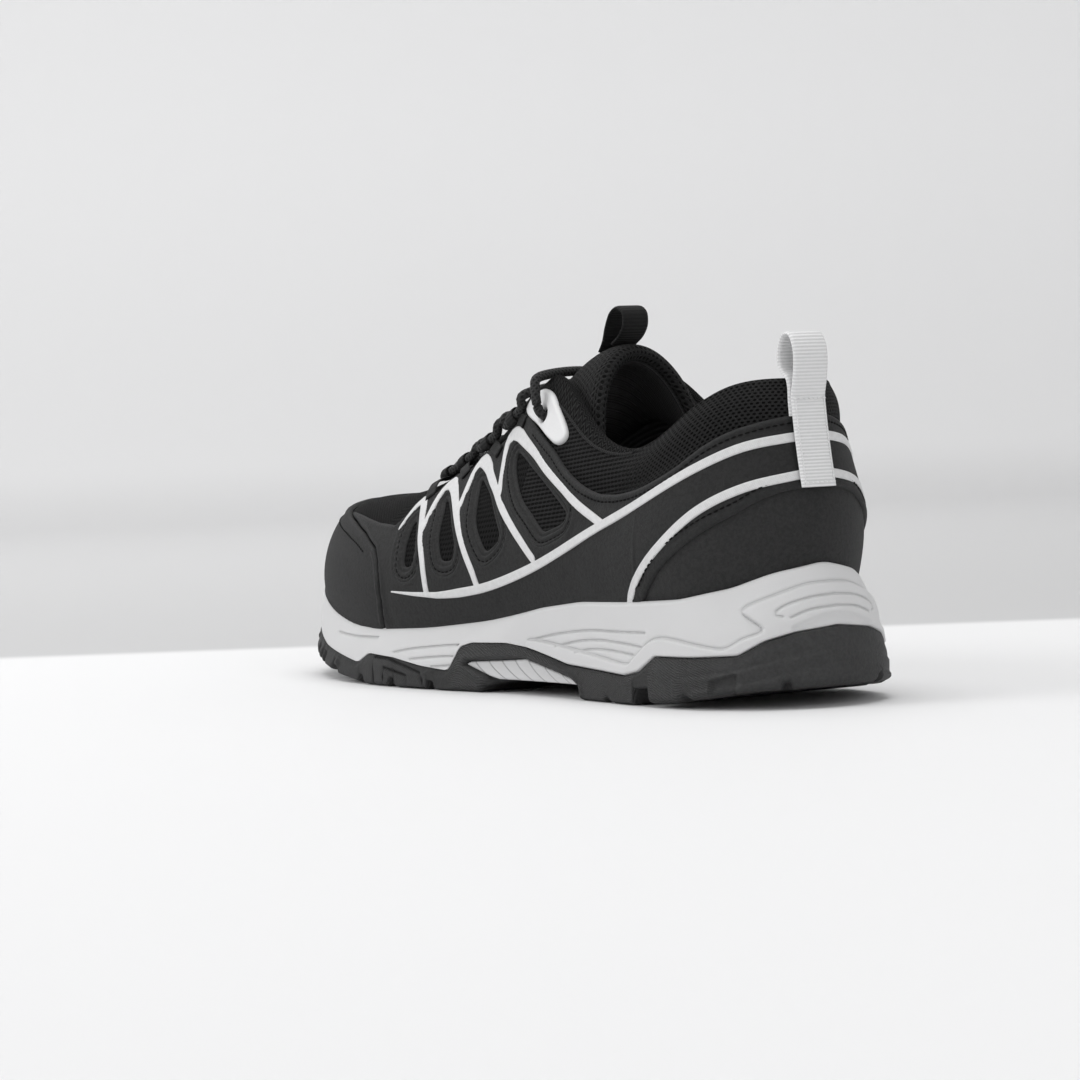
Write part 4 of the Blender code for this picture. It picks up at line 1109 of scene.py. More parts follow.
def makeEyeletTabs():
    parts = []
    marks = []
    for side in (1, -1):
        shift = 0 if side > 0 else tab["innerShift"]     # inner eyelets lie a little further forward

        def inside(s, v):
            spots = sideView(onLast(s, v)) - (shift, 0)
            x, z, radius = tab["hole"]
            hole = np.hypot(spots[..., 0] - x, spots[..., 1] - z) - radius
            return np.minimum(inOutline(spots, smoothPath(tab["outline"], 1.2, True)), hole)

        def lift(s, v, d):
            return tab["lift"] - tab["sink"] * (1 - np.clip(d / tab["round"], 0, 1)) ** 2
        sLine, vLine = [np.linspace(*line) for line in tab["grid"]]
        sLine = sLine if side > 0 else turn - sLine[::-1]
        points, faces, s, v, d = trimSheet(skin, sLine, vLine, inside, lift, tab["base"])
        parts.append((points, faces, upperUv(faces, s, v)))
        marks.append(d)
    points, faces, uv = joinParts(parts)
    piece = makePiece("eyeletTabs", points, faces, [tabWhite], uv, {"edge": np.concatenate(marks)})
    dress(piece, "tab_white", "eyelet_tab_left", "eyelet_tab_right")


makeEyeletTabs()

# midsole: cupped foam with a raised lower band, moulded lines and a rolled lip

midsole = {
    "columns": 900, "sideRows": 58, "band": 1.1, "lipThickness": 2.6, "lipRound": 0.8, "lineDepth": 0.45,
    # the raised band's upper edge: s, z from the waist back round the heel
    "bandEdge": ((4.85, 17), (4.72, 19.2), (3.6, 15.5), (2.98, 13.4), (2.8, 15.5), (2.5, 20.6),
                 (2.26, 22.5), (2, 22.2), (1.5, 19.9), (1.3, 19.6), (1.08, 22.6), (0.89, 24.4), (0.86, 26),
                 (0.96, 28.6), (1.04, 31), (0.95, 33), (0.66, 36), (0.3, 39.1), (0, 39.8)),
    "lines": (((4.72, 19.3), (4.3, 21.6), (3.7, 23.4), (3.1, 23.6), (2.55, 23.9)),
              ((4.31, 17.4), (3.9, 19.6), (3.5, 20.4), (3, 19.9), (2.64, 19.2)),
              ((3.94, 15.9), (3.65, 17.2), (3.3, 17.3), (2.82, 16.4)),
              ((0.62, 29.3), (0.7, 30.2), (0.58, 32.7), (0.3, 35), (0, 35.8)),
              ((0.54, 29), (0.31, 31.3), (0, 32.2)),
              ((6.68, 12.3), (6.47, 14), (6.14, 15.5), (5.86, 16.3)),
              ((6.47, 10.3), (6.19, 11.5), (5.92, 12.2)),
              ((6.21, 8), (5.96, 8.9)),
              ((6.95, 17.2), (7.3, 16.9), (7.6, 17.6))),
    "lens": ((0.56, 26.6), (0.4, 28.3), (0.2, 30), (0, 30.8)), "lensDepth": 0.9,
}


def sidePlan(points):
    # (s, z) points as distance along the sole's side and height
    points = np.asarray(points, float)
    return np.column_stack([alongSole(points[:, 0]), points[:, 1]])


def makeMidsole():
    s = np.arange(midsole["columns"]) * turn / midsole["columns"]
    gap = form["gap"]
    split = softTable(sole["split"], s, 0.03)
    lipV = vAtHeight(s, softTable(sole["lip"], s, 0.1))
    thick = gap + midsole["lipThickness"]
    brow = skin(s, lipV, thick) - (0, 0, midsole["lipRound"])
    waist = 1 - ease((fold(s) - 4.6) / 0.7)
    foot = soleWall(s, 0.6 + 0.9 * waist, split + gap)
    q = np.linspace(0, 1, midsole["sideRows"])[:, None, None]
    side = foot + (brow - foot) * np.concatenate([np.repeat(q ** 1.6, 2, -1), q], -1)
    spots = np.stack([np.broadcast_to(alongSole(s), side.shape[:2]), side[..., 2]], -1)
    edge = smoothPath(sidePlan(midsole["bandEdge"]), 1.2)
    outline = np.concatenate([edge, [(-60, 39.8), (-60, -60), (edge[0, 0], -60)]])
    inBand = inOutline(spots, outline)
    moulded = [pathReach(spots, smoothPath(sidePlan(k), 2.0)) for k in midsole["lines"]]
    line = np.minimum.reduce([np.abs(inBand)] + moulded)
    mirrored = np.concatenate([sidePlan(midsole["lens"]), sidePlan(midsole["lens"])[::-1] * (-1, 1)])
    lens = inOutline(spots, np.concatenate([mirrored, [(mirrored[-1, 0], 10), (mirrored[0, 0], 10)]]))
    lift = midsole["band"] * ease((inBand + 0.5) / 1.0) - midsole["lineDepth"] * np.exp(-(line / 0.5) ** 2)
    lift -= midsole["lensDepth"] * ease(lens / 1.6)
    lift *= ease(q[..., 0] / 0.03) * ease((1 - q[..., 0]) / 0.1)
    outwards = soleWall(s, -1, 0)[:, :2] - soleWall(s, 0, 0)[:, :2]
    side[..., :2] += lift[..., None] * outwards
    tread = softTable(sole["tread"], s)
    deck = soleWall(s, sole["deckInset"], tread + sole["deckHeight"] + gap)[None]
    hem = soleWall(s, 2.2, split + gap)[None]
    crest = [skin(s, lipV, thick - 0.25) - (0, 0, 0.35), skin(s, lipV, thick - 0.9) + (0, 0, 0.15),
             skin(s, lipV, gap + 0.8) + (0, 0, 0.2), skin(s, lipV, gap) - (0, 0, 0.3)]
    inner = [skin(s, lipV / 2, gap), skin(s, 0 * s, gap) - (0, 0, gap)]
    points = np.concatenate([deck, hem, side, np.stack(crest), np.stack(inner)])
    rows = len(points)
    faces, _ = quadGrid(rows, len(s), False, True)
    caps = ladder(0, len(s)) + ladder((rows - 1) * len(s), len(s))
    lines = np.full((rows, len(s)), 3.0)
    lines[2:2 + len(side)] = line + 2 * (q[..., 0] > 0.985)
    piece = makePiece("midsoleCup", points, list(faces) + caps, [midsoleFoam], None, {"line": lines},
                      closed=True)
    dress(piece, "midsole_foam", "midsole")


makeMidsole()

# outsole: rubber cup with toe lugs, bumper, arch frame, heel wrap and a grooved tread

outsole = {
    "columns": 900, "sideRows": 26, "across": 96,
    "arch": ((-61, -4), (-58.5, 3.9), (-45, 4.8), (-14, 4.4), (-5, 2.4), (3, -4)),
    "window": ((4.5, 9.8), (2, 11), (-19, 12.2), (-27, 12.8), (-54.5, 7), (-59, 4.4), (-59, 0), (-13, 0),
               (-5.5, 6)),
    "windowDepth": 3.0,
    "insert": ((3.9, 9.6), (1.8, 10.6), (-19, 11.8), (-26.9, 12.4), (-54.4, 6.6), (-57.4, 5), (-12.8, 5),
               (-6, 6.4)),
    "insertSink": 1.0, "ribPitch": 7.2, "ribLean": 0.6, "ribBow": 0.11, "ribTop": 12, "ribDepth": 0.5,
    "insertRoll": 0.4, "insertRound": 0.7, "insertBase": -2.9, "insertGrid": ((3.4, 6.2, 260), (4, 14, 34)),
    "bumper": (((6.94, 0), (6.92, 10.4), (6.74, 10.2), (6.33, 5.8), (6.29, 0)),
               ((6.82, 0), (6.78, 6.9), (6.5, 4.6), (6.5, 0.2), (6.29, 0.2))),
    "heelSteps": (((0, 18.7), (0.6, 16.2), (1.3, 11.5), (2, 9.5)),
                  ((0, 13.8), (0.43, 12), (1.1, 8.2), (1.7, 6.2))),
    "grooves": (-104, 14, 36, 58, 80, 102, 124), "grooveHalf": 1.9, "slant": 14, "grooveDepth": 3.0,
    "rib": 3.0, "sipe": {"pitch": 11, "half": 0.5, "depth": 1.3, "from": 8, "to": 30},
    "lane": (17, 1.3, 2.2), "heelNotch": (-104, 4.4, 5.0),
    "smallNotches": ((-75.5, 2.4, 1.8), (-117, 2.6, 2.0)),
    "heelRecess": ((-128.6, -9), (-128.6, 9.3), (-136.3, 11.6), (-136.3, -9)), "recessDepth": 1.5,
    "heelLift": ((0, 0.6), (1, 1.4), (1.5, 1.2), (2.1, 1.5), (2.5, 1), (3, 0)),
    "toeLugs": {"from": 7.35, "pitch": 13.0, "half": 1.6, "reach": 11, "depth": 2.6, "flare": 1.2},
}


def grooveCut(x, y):
    # depth of the tread's grooves: slanted pairs either side of the middle rib, narrow sipes between
    side = np.abs(y - swing(x))
    ahead = x - side * np.tan(np.radians(outsole["slant"]))
    cut = np.zeros(np.shape(x))
    off = ease((side - outsole["rib"]) / 0.8)
    for place in outsole["grooves"]:
        wide = place == outsole["heelNotch"][0]
        half, depth = outsole["heelNotch"][1:] if wide else (outsole["grooveHalf"], outsole["grooveDepth"])
        cut = np.maximum(cut, ease((half - np.abs(ahead - place + 2.5)) / 0.7 + 0.5) * depth * off)
    for place, half, depth in outsole["smallNotches"]:
        cut = np.maximum(cut, depth * np.clip(1 - np.abs(ahead + 10 - place) / half, 0, 1) * off)
    tread = (x > 6) | (x < -62)
    thin = outsole["sipe"]
    away = np.abs((ahead + 3) % thin["pitch"] - thin["pitch"] / 2)
    sipe = ease((thin["half"] - away) / 0.4 + 0.5) * thin["depth"]
    sipe = sipe * ease(side - thin["from"]) * ease(thin["to"] - side)
    place, half, depth = outsole["lane"]
    lane = ease((half - np.abs(side - place)) / 0.7 + 0.5) * depth
    return np.where(tread, np.maximum(cut, np.maximum(sipe, lane)), 0)


def toeLugCut(s, inset):
    lug = outsole["toeLugs"]
    along = alongSole(s) - alongSole(lug["from"])
    gapAway = np.abs((along + lug["pitch"] / 2) % lug["pitch"] - lug["pitch"] / 2)
    on = ease((fold(s) - lug["from"]) / 0.1) * ease((lug["reach"] - inset) / 1.5)
    return ease((lug["half"] - gapAway) / 0.8 + 0.5) * on


def treadHeight(s, x, y, inset):
    # floor-side height: the tread's own rise, the arch's hollow and the grooves
    z = softTable(sole["tread"], s) + softTable(outsole["heelLift"], s)
    archX, archZ = np.transpose(outsole["arch"])
    hollow = np.interp(x, archX, archZ, left=-4, right=-4)
    z = np.maximum(z, hollow)
    notch = np.maximum(grooveCut(x, y), toeLugCut(s, inset) * outsole["toeLugs"]["depth"])
    return z + notch * (hollow < 0.5)


def makeOutsole():
    columns = outsole["columns"]
    s = np.arange(columns) * turn / columns
    split = softTable(sole["split"], s, 0.03)
    lower = soleWall(s, 2.2, 0)
    low = treadHeight(s, lower[:, 0], lower[:, 1], 0)
    q = np.linspace(0, 1, outsole["sideRows"])[:, None]
    z = split + (low - split) * q
    inset = 0.8 * (1 - ease(q / 0.3)) + 0.15 * ease((q - 0.4) / 0.6)
    inset = inset + 2.1 * np.clip((q - 0.86) / 0.14, 0, 1) ** 2     # rounded foot
    spots = np.stack([np.broadcast_to(alongSole(s), z.shape), z], -1)
    plan = soleWall(s, 0, 0)
    view = np.stack([np.broadcast_to(plan[:, 0], z.shape), z], -1)
    window = inOutline(view, np.array(outsole["window"], float))
    line = np.minimum.reduce([pathReach(spots, sidePlan(k)) for k in outsole["bumper"]])
    steps = np.zeros(z.shape)
    for k in outsole["heelSteps"]:
        path = smoothPath(np.array(k), 0.05)
        reach = z - np.interp(fold(s), path[:, 0], path[:, 1], right=-50)
        steps += 0.6 * (1 - ease((reach + 0.5) / 1.0)) * (fold(s) < 2.2)
    lug = outsole["toeLugs"]
    flare = lug["flare"] * ease((q - 0.35) / 0.4) * ease((fold(s) - 7.2) / 0.3)
    flare = flare * (1 - 1.6 * toeLugCut(s, 0) * (q > 0.3))
    frameRoll = 0.5 * np.exp(-((window + 1.4) / 0.9) ** 2)
    inset = inset + outsole["windowDepth"] * ease((window + 0.2) / 0.7) - frameRoll - steps - flare
    inset = inset + 0.55 * np.exp(-(line / 0.5) ** 2)
    recess = inOutline(view, np.array(outsole["heelRecess"], float))
    inset = inset + outsole["recessDepth"] * ease(recess / 0.8 + 0.5)
    side = soleWall(np.broadcast_to(s, z.shape), inset, z)
    deckEdge = soleWall(s, sole["deckInset"], softTable(sole["tread"], s) + sole["deckHeight"])[None]
    hem = soleWall(s, 2.4, split)[None]
    half = columns // 2
    b = np.linspace(0, 1, outsole["across"])[1:-1, None, None]
    left = side[-1, 1:half]
    right = side[-1, :half:-1]
    bottom = left + (right - left) * b
    stations = s[1:half]
    width = np.linalg.norm(right - left, axis=1)
    fromEdge = np.minimum(b[..., 0], 1 - b[..., 0]) * width
    bottom[..., 2] = treadHeight(np.broadcast_to(stations, bottom.shape[:2]), bottom[..., 0],
                                 bottom[..., 1], fromEdge)
    wallPoints = np.concatenate([deckEdge, hem, side])
    rows = len(wallPoints)
    faces, corners = quadGrid(rows, columns, False, True)
    uvAlong = np.append(alongSole(s), 0)
    uvUp = np.append([0, 0], 24 * q[:, 0])
    uv = [np.stack([uvAlong[corners[..., 0]], uvUp[corners[..., 1]]], -1).reshape(-1, 2)]
    rim = (rows - 1) * columns
    size = rows * columns
    inner = np.arange(bottom.shape[0] * bottom.shape[1]).reshape(bottom.shape[:2]) + size
    grid = np.concatenate([(rim + np.arange(1, half))[None], inner,
                           (rim + np.arange(columns - 1, half, -1))[None]])
    under = np.stack([grid[:-1, :-1], grid[1:, :-1], grid[1:, 1:], grid[:-1, 1:]], -1).reshape(-1, 4)
    ends = [np.concatenate([[rim], grid[::-1, 0]]), np.concatenate([[rim + half], grid[:, -1]])]
    points = np.concatenate([wallPoints.reshape(-1, 3), bottom.reshape(-1, 3)])
    allFaces = list(faces) + list(under) + ends + ladder(0, columns)
    extra = sum(len(f) for f in allFaces[len(faces):])
    lines = np.full(len(points), 3.0)
    lines[2 * columns:size] = line.ravel()
    wallMark = np.zeros(len(points))
    hatched = ease((fold(s) - 1.2) / 0.5) * (1 - ease(window + 1))
    wallMark[2 * columns:size] = hatched.ravel()
    piece = makePiece("outsoleCup", points, allFaces, [outsoleRubber],
                      np.concatenate(uv + [np.zeros((extra, 2))]), {"line": lines, "wall": wallMark},
                      closed=True)
    dress(piece, "outsole_rubber", "outsole")


def ribPlace(s, z):
    # slats: a saw tooth of x that leans to the toe with height and bows to the heel below
    lean = outsole["ribBow"] * (outsole["ribTop"] - z) ** 2 - outsole["ribLean"] * z
    return ((solePlan(s)[..., 0] + lean) / outsole["ribPitch"]) % 1


def makeArchInserts():
    def surface(s, z, lift):
        return soleWall(s, -lift, z)

    def inside(s, z):
        return inOutline(np.stack([solePlan(s)[..., 0], z], -1), np.array(outsole["insert"], float))

    def lift(s, z, d):
        rolled = outsole["insertRoll"] * (1 - np.clip(d / outsole["insertRound"], 0, 1)) ** 2
        return -outsole["insertSink"] - outsole["ribDepth"] * (1 - ribPlace(s, z)) - rolled
    parts, marks = [], []
    for side in (1, -1):
        sLine, zLine = [np.linspace(*line) for line in outsole["insertGrid"]]
        sLine = sLine if side > 0 else turn - sLine[::-1]
        points, faces, s, z, d = trimSheet(surface, sLine, zLine, inside, lift, outsole["insertBase"])
        tooth = ribPlace(s, z)
        parts.append((points, faces, cornerValues(faces, np.column_stack([alongSole(s), z]))))
        marks.append(np.minimum(tooth, 1 - tooth))
    points, faces, uv = joinParts(parts)
    piece = makePiece("archInserts", points, faces, [insertGrey], uv, {"rib": np.concatenate(marks)})
    dress(piece, "insert_grey", "arch_insert_left", "arch_insert_right")


makeOutsole()
makeArchInserts()

# insole

insole = {"columns": 240, "rows": 24, "thickness": 4.0, "inset": 1.2, "dish": 0.8, "weld": 0.01}


def makeInsole():
    # a thin cushion: the feather line drawn in across the foot, its top dished between the sides
    half = insole["columns"] // 2
    s = np.linspace(0, turn / 2, half)
    left = skin(s, 0, -form["wall"] - insole["inset"])
    right = skin(turn - s, 0, -form["wall"] - insole["inset"])
    b = np.linspace(0, 1, insole["rows"])[:, None, None]
    plane = left + (right - left) * b
    floor = (onLast(s, 0)[:, 2] + form["gap"])[None]
    crown = np.clip(1 - np.abs(2 * b[..., 0] - 1) ** 8, 0, 1)
    top, low = plane.copy(), plane.copy()
    dish = insole["dish"] * (1 - (2 * b[..., 0] - 1) ** 2)
    top[..., 2] = floor + np.sqrt(crown) * (insole["thickness"] - dish)
    low[..., 2] = floor
    faces, corners = quadGrid(len(b), half)
    uv = np.stack([left[corners[..., 0], 0], 70 * b[corners[..., 1], 0, 0]], -1)
    points, faces, uv = joinParts([(top, faces, uv), (low, faces[:, ::-1], uv[:, ::-1])])
    piece = makePiece("insolePad", points, faces, [insoleCloth], uv, closed=True, weld=insole["weld"])
    dress(piece, "insole_cloth", "insole")


makeInsole()

# tongue: padded, arched from side to side

tongue = {
    "rows": 110, "across": 56, "half": 2.6, "edgeV": 0.86, "rimHalf": 3.4, "rimRows": 0.16,
    "linedTo": 0.965, "weld": 0.005,
    # station of its side edge, x and height of its crown, depth of the edge in the shoe
    "table": ((9.2, 92, 59, 5), (8.6, 80, 60.4, 5), (8, 66, 63, 5), (7.3, 48, 68.6, 5.6),
              (6.7, 28, 76.6, 5.4), (6.2, 10, 84.5, 5), (5.7, -6, 93.5, 5), (5.2, -15, 102.5, 6.5),
              (4.8, -22.5, 109.8, 8), (4.45, -31, 114, 9.2), (4.1, -42.5, 115.4, 10)),
}


def tongueMiddle():
    # quarter ellipses from the crown line to each side edge, row by row
    rows = smoothPath(tongue["table"], 1.0)
    rows = rows[np.linspace(0, len(rows) - 1, tongue["rows"]).astype(int)]
    b = np.linspace(-1, 1, tongue["across"])
    station = np.where(b[None] > 0, rows[:, :1], turn - rows[:, :1])
    edge = skin(station, tongue["edgeV"], -rows[:, 3:4])
    crown = np.column_stack([rows[:, 1], swing(rows[:, 1]), rows[:, 2]])[:, None]
    arc = np.abs(b) * np.pi / 2
    share = np.stack([1 - np.cos(arc), np.sin(arc), 1 - np.cos(arc)], -1)[None]
    return crown + (edge - crown) * share


def makeTongue():
    mid = tongueMiddle()
    normal = np.cross(np.gradient(mid, axis=1), np.gradient(mid, axis=0))
    normal /= np.linalg.norm(normal, axis=-1, keepdims=True)
    r = np.linspace(0, 1, tongue["rows"])[:, None]
    b = np.linspace(-1, 1, tongue["across"])[None]
    rim = ease((r - 1 + 2.2 * tongue["rimRows"]) / tongue["rimRows"])
    half = tongue["half"] + (tongue["rimHalf"] - tongue["half"]) * rim
    half = half * np.sqrt(np.clip(1 - b ** 6, 0, 1))
    half = half * np.sqrt(np.clip(1 - ((r - 0.96) / 0.04).clip(0, 1) ** 2, 0, 1))
    half = half * np.sqrt(np.clip(r / 0.03, 0, 1))
    top, low = mid + half[..., None] * normal, mid - half[..., None] * normal
    faces, corners = quadGrid(*mid.shape[:2])
    uv = np.stack([70 * corners[..., 0] / tongue["across"], 190 * corners[..., 1] / tongue["rows"]], -1)
    points, allFaces, allUv = joinParts([(top, faces, uv), (low, faces[:, ::-1], uv[:, ::-1])])
    row = corners[:, 0, 1] / tongue["rows"]
    lined = np.concatenate([np.zeros(len(faces), int), np.where(row < tongue["linedTo"], 1, 0)])
    piece = makePiece("tonguePad", points, allFaces, [tongueMesh, liningKnit], allUv, closed=True,
                      faceFinish=lined, weld=tongue["weld"])
    dress(piece, "mesh_black", "tongue")


makeTongue()

# lace, lace loops and pull loops

lace = {"radius": 1.7, "sides": 12, "reach": 6, "edge": 0.2, "lift": 3.2, "crown": 2.2, "bow": 3,
        "stations": (7.25, 6.85, 6.4, 5.9), "v": 0.95, "layers": 1.5, "crossing": (-13, 107.8),
        # s, v and lift of the run into the top eyelet
        "entry": ((5.29, 1, 3.9), (5.14, 0.94, 6.2), (5.1, 0.885, 3.6), (5.08, 0.87, 0.4)),
        # webbing loops and their sewn tails
        "inside": 1.9, "loopWall": 0.65, "loopWidth": 5.4, "loopRibs": 0.05, "tailWidth": 4.6,
        "tails": ((39.5, 65.5), (22.5, 73.5), (2.5, 81.5), (-12.4, 92))}


def onSide(s, side):
    return s if side > 0 else turn - s


def loopFrame(s):
    # middle of a lace loop and the throat edge's direction towards the heel
    lift = form["gap"] + lace["loopWall"] + lace["inside"]
    back = onLast(s - 0.05, lace["v"]) - onLast(s + 0.05, lace["v"])
    back = -back if s > turn / 2 else back
    return skin(s, lace["v"], lift), back / np.linalg.norm(back)


def lacePath(firstSide):
    # from the lowest loop, crossing over between rows, to the top eyelet
    route, side = [], firstSide
    for row, station in enumerate(lace["stations"]):
        place, back = loopFrame(onSide(station, side))
        if row:
            route.append(skin(onSide(station + lace["edge"], side), 1, lace["lift"]))
        route += [place - lace["reach"] * back, place + lace["reach"] * back]
        route.append(skin(onSide(station - lace["edge"], side), 1, lace["lift"]))
        if row + 1 < len(lace["stations"]):
            corners = [loopFrame(onSide(k, e))[0] for k in lace["stations"][row:row + 2] for e in (1, -1)]
            over = lace["crown"] + lace["layers"] * firstSide * (1 if row % 2 else -1)
            route.append(np.mean(corners, axis=0) + (0, 0, over))
        side = -side
    x, z = lace["crossing"]
    route.append(np.array((x, swing(x), z + lace["layers"] * firstSide)))
    route += [skin(onSide(s, side), v, lift) for s, v, lift in lace["entry"]]
    return smoothPath(route, 1.0)


def roundTube(path, radius, sides):
    along = direction(path)
    across = np.cross(along, (0.1, 0.2, 1.0))
    across /= np.linalg.norm(across, axis=1, keepdims=True)
    out = np.cross(across, along)
    angle = np.linspace(0, 2 * np.pi, sides, endpoint=False)
    points, faces, corners = tubeAlong(path, across, out,
                                       radius * np.column_stack([np.cos(angle), np.sin(angle)]))
    around = np.append(angle, 2 * np.pi) * radius
    return points, faces, tubeUv(path, around, corners, 2 * sides)


def makeLace():
    ends = [loopFrame(onSide(lace["stations"][0], side)) for side in (1, -1)]
    ends = [place - lace["reach"] * back for place, back in ends]
    bar = smoothPath([ends[0], np.mean(ends, axis=0) + (lace["bow"], 0, lace["crown"]), ends[1]], 1.0)
    parts = [roundTube(path, lace["radius"], lace["sides"]) for path in (bar, lacePath(1), lacePath(-1))]
    points, faces, uv = joinParts(parts)
    dress(makePiece("laceCord", points, faces, [laceBlack], uv, closed=True), "lace_black", "lace")


def strapBand(path, across, out, width, thickness, ribs, pitch=1.25, wrap=False, columns=14):
    # flat strap: two faces across the width that draw together at its edges, ribs rippling along the path
    c = np.linspace(-1, 1, columns)
    edge = np.sqrt(np.clip(1 - np.abs(c) ** 10, 0.04, 1))
    half = thickness / 2 + ribs * np.cos(pathLength(path) * 2 * np.pi / pitch)
    reach = np.broadcast_to(c[:, None] * width / 2, (columns, len(path)))
    high = np.stack([reach, edge[:, None] * half], -1)
    points, faces, corners = tubeAlong(path, across, out, np.concatenate([high, high[::-1] * (1, -1)]),
                                       wrap)
    around = np.append(np.concatenate([c, c[::-1]]), -1) * width / 2
    return points, faces, tubeUv(path, around, corners, 0 if wrap else 4 * columns)


def makeLaceLoops():
    parts = []
    nodes = []
    endS, endV = findOnSide(np.array(lace["tails"], float))
    for side, word in ((1, "left"), (-1, "right")):
        for number, station in enumerate(lace["stations"], 1):
            s = onSide(station, side)
            place, back = loopFrame(s)
            out = outward(np.array(s), np.array(lace["v"]))
            up = np.cross(out, back) * side
            angle = np.linspace(0, 2 * np.pi, 40, endpoint=False)
            radius = lace["inside"] + lace["loopWall"] / 2
            ring = place + radius * (np.cos(angle)[:, None] * up * 1.2 + np.sin(angle)[:, None] * out * 0.9)
            across = np.broadcast_to(back, ring.shape)
            outer = (ring - place) / np.linalg.norm(ring - place, axis=1, keepdims=True)
            parts.append(strapBand(ring, across, outer, lace["loopWidth"], lace["loopWall"],
                                   lace["loopRibs"], wrap=True))
            down = np.linspace(0, 1, 16)
            tailS = onSide(station + (endS[number - 1] - station) * down, side)
            tailV = lace["v"] + (endV[number - 1] - lace["v"]) * down
            tail = skin(tailS, tailV, 1.0 + (panel["lift"] - 0.5) * ease(down / 0.5))
            tailAlong = direction(tail)
            tailOut = outward(tailS, tailV)
            tailAcross = np.cross(tailAlong, tailOut)
            parts.append(strapBand(tail, tailAcross, tailOut, lace["tailWidth"], lace["loopWall"],
                                   lace["loopRibs"]))
            nodes.append(f"lace_loop_{word}_{number}")
    points, faces, uv = joinParts(parts)
    piece = makePiece("laceLoops", points, faces, [webbingBlack], uv, closed=True)
    dress(piece, "webbing_black", *nodes)


heelLoop = {"width": 13, "thickness": 1.4, "foot": 0.46, "head": 0.91, "curve": 36, "lift": 2.95,
            "shift": 1.5,
            "ring": ((-142.1, 103), (-143, 108.5), (-142.8, 114), (-140.6, 118.2), (-137.2, 118.2),
                     (-134.9, 114.4), (-134.5, 109.6), (-135.9, 106.5), (-138.5, 104.5), (-139.4, 101.5),
                     (-139.5, 97.5), (-139.9, 92.4))}
tongueLoop = {"width": 10.5, "thickness": 1.4, "curve": 0, "shift": 0,
              "ring": ((-25.6, 115.9), (-28.2, 119.4), (-30.3, 124.5), (-33.3, 129), (-37.5, 130.6),
                       (-40.8, 128.8), (-41, 124.6), (-38.2, 121), (-33.6, 118.4))}

pullStrap = {"step": 0.2, "ribs": 0.06, "pitch": 1.1, "columns": 22}


def sideStrap(strap, ring):
    # a strap across the middle line along a side-view path; a curve bows it round the heel
    path = smoothPath(ring, pullStrap["step"])
    spots = np.column_stack([path[:, 0], swing(path[:, 0]) + strap["shift"], path[:, 1]])
    across = np.broadcast_to(np.array((0.0, 1, 0)), spots.shape)
    out = np.cross(across, direction(spots))
    points, faces, uv = strapBand(spots, across, out, strap["width"], strap["thickness"], pullStrap["ribs"],
                                  pullStrap["pitch"], columns=pullStrap["columns"])
    if strap["curve"]:
        points[..., 0] += (points[..., 1] - swing(points[..., 0])) ** 2 / (2 * strap["curve"])
    return points, faces, uv


def makePullLoops():
    sewn = skin(0.0, np.linspace(heelLoop["foot"], heelLoop["head"], 6), heelLoop["lift"])[:, ::2]
    points, faces, uv = sideStrap(heelLoop, np.concatenate([sewn, heelLoop["ring"]]))
    dress(makePiece("heelLoop", points, faces, [webbingWhite], uv, closed=True), "webbing_white",
          "heel_loop")
    points, faces, uv = sideStrap(tongueLoop, tongueLoop["ring"])
    dress(makePiece("tongueLoop", points, faces, [webbingBlack], uv, closed=True), "webbing_black",
          "tongue_loop")


makeLace()
makeLaceLoops()
makePullLoops()

# stitches: short capsules joined into one mesh

stitch = {"pitch": 2.3, "length": 1.7, "radius": 0.34, "stand": 0.05, "belowTop": 2.5,
          "topRow": (0.25, 5.2, 120), "counterRow": (0.25, 2.62, 70)}      # from, to and count of s


def capsules(places, along, out, length, radius):
    # one low capsule at each place, lying along its row
    across = np.cross(along, out)
    ring = np.linspace(0, 2 * np.pi, 6, endpoint=False)
    stations = np.array(((-0.5, 0.25), (-0.36, 0.85), (0, 1), (0.36, 0.85), (0.5, 0.25)))
    shape = [(stations[:, 0, None] * length + 0 * ring), stations[:, 1, None] * radius * np.cos(ring),
             stations[:, 1, None] * radius * np.sin(ring)]
    points = (places[:, None, None] + shape[0][None, ..., None] * along[:, None, None]
              + shape[1][None, ..., None] * across[:, None, None]
              + shape[2][None, ..., None] * out[:, None, None])
    faces, _ = quadGrid(len(stations), len(ring), False, True)
    sides, size = len(ring), len(stations) * len(ring)
    caps = np.array((np.arange(sides)[::-1], np.arange(sides) + size - sides))
    starts = (np.arange(len(places)) * size)[:, None, None]
    quads = (starts + faces[None]).reshape(-1, 4)
    ends = (starts + caps[None]).reshape(-1, sides)
    return points.reshape(-1, 3), list(quads) + list(ends)


def stitchRow(s, v, lift):
    # stitches evenly along a row on both sides of the shoe
    rows = []
    for side in (1, -1):
        stations = s if side > 0 else turn - s
        path = smoothPath(skin(stations, v, lift), stitch["pitch"])
        normal = np.column_stack([np.interp(np.linspace(0, 1, len(path)), np.linspace(0, 1, len(s)), k)
                                  for k in outward(stations, v).T])
        rows.append(capsules(path, direction(path), normal, stitch["length"], stitch["radius"]))
    return rows


def sew(name, rows, thread, slot):
    # rows of capsules as one piece
    points, faces, _ = joinParts([(p, f, np.zeros((1, 2))) for p, f in rows])
    dress(makePiece(name, points, faces, [thread], closed=True), slot)


